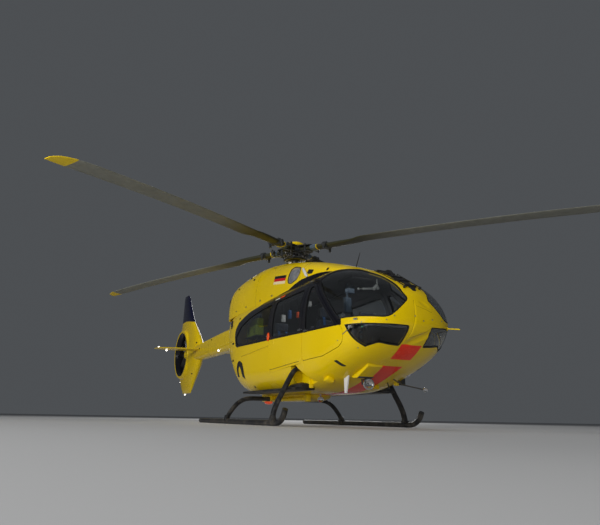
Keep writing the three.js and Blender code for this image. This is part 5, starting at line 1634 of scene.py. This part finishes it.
def bent(points, step, radius):
    line = smooth_path([(x + mast, 0.37, z) for x, z in points], step)
    return pipe(line, (0, 1, 0), radius, radius, 16)


stick_line = [(2.52, 0.952), (2.51, 1.10), (2.44, 1.24), (2.45, 1.36)]
grip_line = [(2.45, 1.35), (2.46, 1.40), (2.455, 1.46), (2.475, 1.49)]
stick_boot = turned([(0, 0), (0.04, 0), (0.038, 0.012), (0.02, 0.035), (0.013, 0.05), (0, 0.05)], 24,
                    (2.52 + mast, 0.37, 0.951))
stick = together(bent(stick_line, 0.03, 0.012), stick_boot)
pair("stick", stick, hub_grey)
pair("stick_grip", bent(grip_line, 0.02, 0.021), plastic)
pedals = together(*[together(slab(3.03, 3.045, y - 0.045, y + 0.045, 1.09, 1.19, 0.005),
                             strut((3.04, y, 1.10), (3.0, y, 0.99), 0.009),
                             strut((3.0, y, 0.99), (2.95, y, 1.02), 0.009))
                    for y in (0.22, 0.37)])
pair("pedal", kept(pedals, room), hub_grey)
lift_lever = together(strut((2.02, 0.125, 1.02), (2.33, 0.125, 1.17), 0.011),
                      strut((2.33, 0.125, 1.17), (2.46, 0.125, 1.215), 0.018, 0.004))
pair("lift_lever", lift_lever, hub_grey)
roof_panel = together(slab(1.85, 2.3, -0.19, 0.19, 2.21, 2.262, 0.012, 3),
                      *[rod((1.9 + mast + 0.06 * i, y, 2.2), (1.9 + mast + 0.06 * i, y, 2.215), 0.007,
                            sides=10)
                        for i in range(7) for y in (-0.14, -0.07, 0.0, 0.07, 0.14)])
piece("roof_panel", kept(roof_panel, room), plastic, sharp=40)
white_handle = together(strut((2.75, -0.132, 1.949), (2.75, -0.325, 1.922), 0.017, 0.004),
                        strut((2.75, -0.132, 1.949), (2.75, -0.076, 2.0), 0.027, 0.005),
                        knob((2.75, -0.132, 1.949), 0.028),
                        knob((2.75, -0.397, 1.913), 0.019), knob((2.75, -0.07, 1.965), 0.027),
                        strut((2.75, -0.397, 1.913), (2.75, -0.325, 1.922), 0.007),
                        strut((2.75, -0.076, 2.0), (2.73, -0.06, 2.10), 0.009))
piece("white_handle", white_handle, paint_white)
side_box = slab(2.82, 2.895, -0.55, -0.435, 1.12, 1.375, 0.012, 3)
side_knobs = together(*[rod((2.893 + mast, -0.488, z), (2.915 + mast, -0.488, z), 0.021, 0.018, 24, 0.003)
                        for z in (1.199, 1.268)])
pair("side_box", mirror_image(side_box), plastic)
pair("side_knobs", mirror_image(side_knobs), cuff_paint, slot="panel_plastic")
piece("panel_lamp", knob((2.898, -0.466, 1.345), 0.012), lamp_green)
print("cockpit done")

# %% [markdown]
# A rack hangs from the roof between the front seats. Behind them rails run under the roof with
# small pouches strapped to them, and two cases stand on a shelf beside the window.

# %% Roof rack, rails, pouches and cases
rack = together(slab(1.86, 1.94, -0.095, 0.004, 1.735, 1.985, 0.008, 3),
                slab(1.86, 1.94, -0.062, 0.07, 2.055, 2.175, 0.008, 3),
                strut((1.9, -0.045, 2.262), (1.9, -0.045, 1.9), 0.014),
                strut((1.9, 0.045, 2.262), (1.9, 0.045, 2.1), 0.014))
piece("roof_rack", kept(rack, room), rack_blue, sharp=40)
cases = together(slab(-0.98, -0.48, -0.60, -0.44, 1.655, 1.86, 0.02, 3),
                 slab(-0.86, -0.5, -0.58, -0.44, 1.86, 2.0, 0.02, 3))
case_trim = together(*[slab(x, x + 0.03, -0.606, -0.436, 1.70, 1.80, 0.003) for x in (-0.88, -0.6)],
                     slab(-1.0, -0.44, -0.62, -0.42, 1.63, 1.655, 0.006),
                     *[strut((x, y, 0.96), (x, y, 1.63), 0.012)
                       for x in (-0.97, -0.48) for y in (-0.58, -0.46)])
rails = together(*[strut((-0.6, y, 2.2), (1.5, y, 2.2), 0.012) for y in (-0.3, 0.3)],
                 *[strut((x, y, 2.2), (x, y, 2.335), 0.009)
                   for x in (-0.5, 0.45, 1.4) for y in (-0.3, 0.3)],
                 *[strut((x, -0.3, z), (x, -0.3, 2.2), 0.004)
                   for x, z in ((0.1, 1.98), (0.36, 2.02), (0.72, 1.93), (1.12, 2.04))])
hung_white = together(slab(0.08, 0.12, -0.34, -0.26, 1.84, 1.98, 0.012),
                      slab(1.09, 1.15, -0.33, -0.27, 1.95, 2.04, 0.01))
hung_orange = slab(0.69, 0.75, -0.34, -0.26, 1.82, 1.93, 0.014)
hung_blue = together(slab(0.33, 0.39, -0.33, -0.27, 1.86, 2.02, 0.012),
                     slab(-0.8, -0.5, -0.56, -0.46, 2.0, 2.08, 0.02))
piece("ceiling_rails", rails, steel, slot="lamp_chrome")
piece("hung_white", hung_white, paint_white)
piece("hung_orange", hung_orange, orange)
piece("hung_blue", hung_blue, belt_web, slot="panel_plastic")
piece("equipment_cases", cases, case_green, sharp=40)
piece("equipment_shelf", case_trim, hub_grey)
print("rails", len(rails.faces), "faces")

# %% [markdown]
# ## Seats
# A cushion is cloth pulled over foam: it bulges between its seams and its sides pull in. The
# swelling is simulated. The plain shape is remeshed into small even faces, the seam lines are
# pinned, and pressure from inside blows the cloth out for twenty steps. The movement is limited,
# as foam under a cover would limit it. The frame, the shell and the rails under it are rigid.

# %% Helpers: swell a cushion with cloth under pressure
cloth_stiffness, last_step = 12, 20


def even_faces(bm, voxel):
    holder = hidden_object(bm)
    step = holder.modifiers.new("even", "REMESH")
    step.mode = "VOXEL"
    step.voxel_size = voxel
    made = result_of(holder)
    forget(holder)
    return made


def smoothed(bm, factor):
    bmesh.ops.smooth_vert(bm, verts=bm.verts, factor=factor, use_axis_x=True, use_axis_y=True,
                          use_axis_z=True)
    return bm


def swollen(bm, pinned, most=0.02, voxel=0.009, pressure=4.0):
    bm = smoothed(even_faces(bm, voxel), 0.5)
    holder = hidden_object(bm)
    seams = holder.vertex_groups.new(name="seams")
    for v in holder.data.vertices:
        seams.add([v.index], float(pinned(v.co)), "REPLACE")
    cloth = holder.modifiers.new("cloth", "CLOTH").settings
    cloth.quality = 4
    cloth.mass = 0.25
    cloth.tension_stiffness = cloth_stiffness
    cloth.compression_stiffness = cloth_stiffness
    cloth.use_pressure = True
    cloth.uniform_pressure_force = pressure
    cloth.effector_weights.gravity = 0
    cloth.vertex_group_mass = "seams"
    scene = bpy.context.scene
    for step in range(1, last_step + 1):
        scene.frame_set(step)
    ready = holder.evaluated_get(bpy.context.evaluated_depsgraph_get())
    after = [v.co.copy() for v in ready.data.vertices]
    scene.frame_set(1)
    for v, place in zip(bm.verts, after):
        move = place - v.co
        v.co += move if move.length < most else move * (most / move.length)
    forget(holder)
    return smoothed(bm, 0.4)


def near_line(value, lines, width=0.006):
    return any(abs(value - line) < width for line in lines)


# %% One cushion, one backrest and one headrest
cushion = swollen(block(-0.205, 0.215, -0.20, 0.20, 0.222, 0.288, 0.018, 3),
                  lambda co: near_line(co.x, (-0.06, 0.09)) or near_line(abs(co.y),
                                                                         (0.135,)) or co.z < 0.228)
back_outline = [(-0.20, 0.31), (0.20, 0.31), (0.205, 0.5, 0.05), (0.165, 0.655, 0.05),
                (-0.165, 0.655, 0.05), (-0.205, 0.5, 0.05)]
back_tool = cutter("x", back_outline, -0.295, -0.235)
rounded(back_tool, back_tool.edges[:], 0.014)
backrest = swollen(back_tool,
                   lambda co: near_line(co.z, (0.40, 0.49, 0.58)) or near_line(abs(co.y), (0.135,))
                   or co.x < -0.288)
headrest = swollen(block(-0.295, -0.24, -0.12, 0.12, 0.695, 0.845, 0.02, 3),
                   lambda co: near_line(abs(co.y), (0.07,)) or co.x < -0.288, 0.014)
print("faces of one cushion", len(cushion.faces), "and one backrest", len(backrest.faces))

# %% Frames, belts and the four seats
seat_shell = cutter("x", [(-0.215, 0.21), (0.215, 0.21), (0.22, 0.5, 0.04), (0.18, 0.675, 0.04),
                          (0.125, 0.70, 0.02), (0.125, 0.855, 0.03), (-0.125, 0.855, 0.03),
                          (-0.125, 0.70, 0.02), (-0.18, 0.675, 0.04), (-0.22, 0.5, 0.04)], -0.325, -0.30)
rounded(seat_shell, seat_shell.edges[:], 0.004)
seat_frame = together(
    seat_shell, block(-0.30, 0.215, -0.205, 0.205, 0.195, 0.214, 0.004),
    *[block(-0.19, 0.14, hand * 0.16 - 0.012, hand * 0.16 + 0.012, 0.03, 0.194, 0.004) for hand in (-1, 1)],
    *[block(-0.2, 0.15, hand * 0.16 - 0.022, hand * 0.16 + 0.022, 0.0004, 0.028, 0.004)
      for hand in (-1, 1)],
    rod((-0.12, -0.15, 0.12), (-0.12, 0.15, 0.12), 0.014),
    rod((0.09, -0.15, 0.12), (0.09, 0.15, 0.12), 0.014))


def belt(points, width):
    rings = []
    for i, point in enumerate(points):
        here = Vector(point)
        along = (Vector(points[min(i + 1, len(points) - 1)]) - Vector(points[max(i - 1, 0)])).normalized()
        across = Vector((0, 1, 0))
        out = along.cross(across).normalized()
        rings.append([tuple(here + across * a * width + out * b) for a, b in
                      ((-0.5, 0), (0.5, 0), (0.5, 0.003), (-0.5, 0.003))])
    return skin(rings)


strap = smooth_rows([(-0.262, 0.075, 0.71), (-0.225, 0.078, 0.66), (-0.212, 0.08, 0.55),
                     (-0.21, 0.085, 0.42), (-0.19, 0.09, 0.33), (-0.12, 0.085, 0.312),
                     (-0.03, 0.05, 0.314)], 0.02, 3)
belts = together(belt(strap, 0.042), mirror_image(belt(strap, 0.042)))
buckle = block(-0.035, 0.025, -0.032, 0.032, 0.308, 0.332, 0.006, 3)
floor_height, seat_side = 0.95, 0.37
seat_parts = [("cushion", cushion, seat_cloth, True), ("backrest", backrest, seat_cloth, True),
              ("headrest", headrest, seat_cloth, True), ("frame", seat_frame, hub_grey, False),
              ("belts", belts, belt_web, False), ("buckle", buckle, paint_black, False)]
for name, x in (("front_seat", 2.08), ("cabin_seat", 0.45)):
    for side, y in (("L", seat_side), ("R", -seat_side)):
        for label, shape, material, soft in seat_parts:
            copy = shape.copy()
            bmesh.ops.translate(copy, vec=from_mast(x, y, floor_height), verts=copy.verts)
            made = piece(f"{name}_{label}_{side}", copy, material,
                         stands_for=[f"{name}_{side}"] if label == "frame" else (),
                         sharp=180 if soft else 40)
            if soft:
                finer = made.modifiers.new("finer", "SUBSURF")
                finer.levels = finer.render_levels = 1
print("four seats")

# %% [markdown]
# ## Finishes on the CAD solids that stay
# Blocks that only show through a window or an intake keep their CAD shape. They get a real
# finish in place of the plain one.

# %% Dress the CAD nodes
dressed = {
    "cabin_floor": floor_coat, "fuel_tank": dark_metal, "engine_block": dark_metal, "main_gearbox": alloy,
    "exhaust_pipe_L": burnt, "exhaust_pipe_R": burnt,
    "whip_aerial": paint_black, "belly_aerial": paint_white,
}
for name, material in dressed.items():
    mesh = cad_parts[name].data
    mesh.materials.clear()
    mesh.materials.append(material)
print(len(dressed), "CAD nodes dressed")

# %% [markdown]
# ## Floor, light and sky
# A plain pale floor under soft studio light lets the paint and the glass speak. Large area lights
# give long soft reflections along the curved skin.

# %% Stage
def make_stage():
    bm = bmesh.new()
    bmesh.ops.create_circle(bm, cap_ends=True, segments=96, radius=120)
    mesh = bpy.data.meshes.new("studio_floor")
    bm.to_mesh(mesh)
    floor = bpy.data.objects.new("studio_floor", mesh)
    bpy.context.scene.collection.objects.link(floor)
    mesh.materials.append(finish("studio_floor", (0.45, 0.45, 0.45), 0.8, drift=0.04, dust=0.0, scale=0.4,
                                 ripple=0.0))
    return floor


def soft_light(name, place, target, size, power, mirrored):
    lamp = bpy.data.lights.new(name, "AREA")
    lamp.shape = "RECTANGLE"
    lamp.size, lamp.size_y = size
    lamp.energy = power
    holder = bpy.data.objects.new(name, lamp)
    holder.location = place
    holder.rotation_euler = (Vector(target) - Vector(place)).to_track_quat("-Z", "Y").to_euler()
    holder.visible_glossy = mirrored
    holder.visible_transmission = False
    bpy.context.scene.collection.objects.link(holder)


make_stage()
soft_light("key_light", (11, -15, 6), (1, 0, 1.5), (8, 4), 1400, False)
soft_light("low_light", (13, -9, 0.9), (1.5, 0, 1.2), (7, 1.4), 400, False)
soft_light("top_light", (0, 0, 15), (0, 0, 1), (16, 9), 700, False)
soft_light("rear_light", (-14, 9, 6), (-2, 0, 1.5), (8, 5), 700, True)
soft_light("side_strip", (2, -16, 3.5), (1, 0, 1.6), (12, 1.2), 200, True)
soft_light("cabin_lamp", (0.9 + mast, 0, 2.28), (0.9 + mast, 0, 1), (1.4, 0.7), 7, False)
soft_light("cockpit_lamp", (2.2 + mast, 0, 2.2), (2.5 + mast, 0, 1), (0.5, 0.7), 6, False)
world = bpy.data.worlds.new("studio")
world.use_nodes = True
sky = world.node_tree.nodes["Background"].inputs
sky["Color"].default_value = (0.82, 0.88, 0.95, 1)
sky["Strength"].default_value = 0.09
bpy.context.scene.world = world
bpy.context.scene.view_settings.view_transform = "Standard"
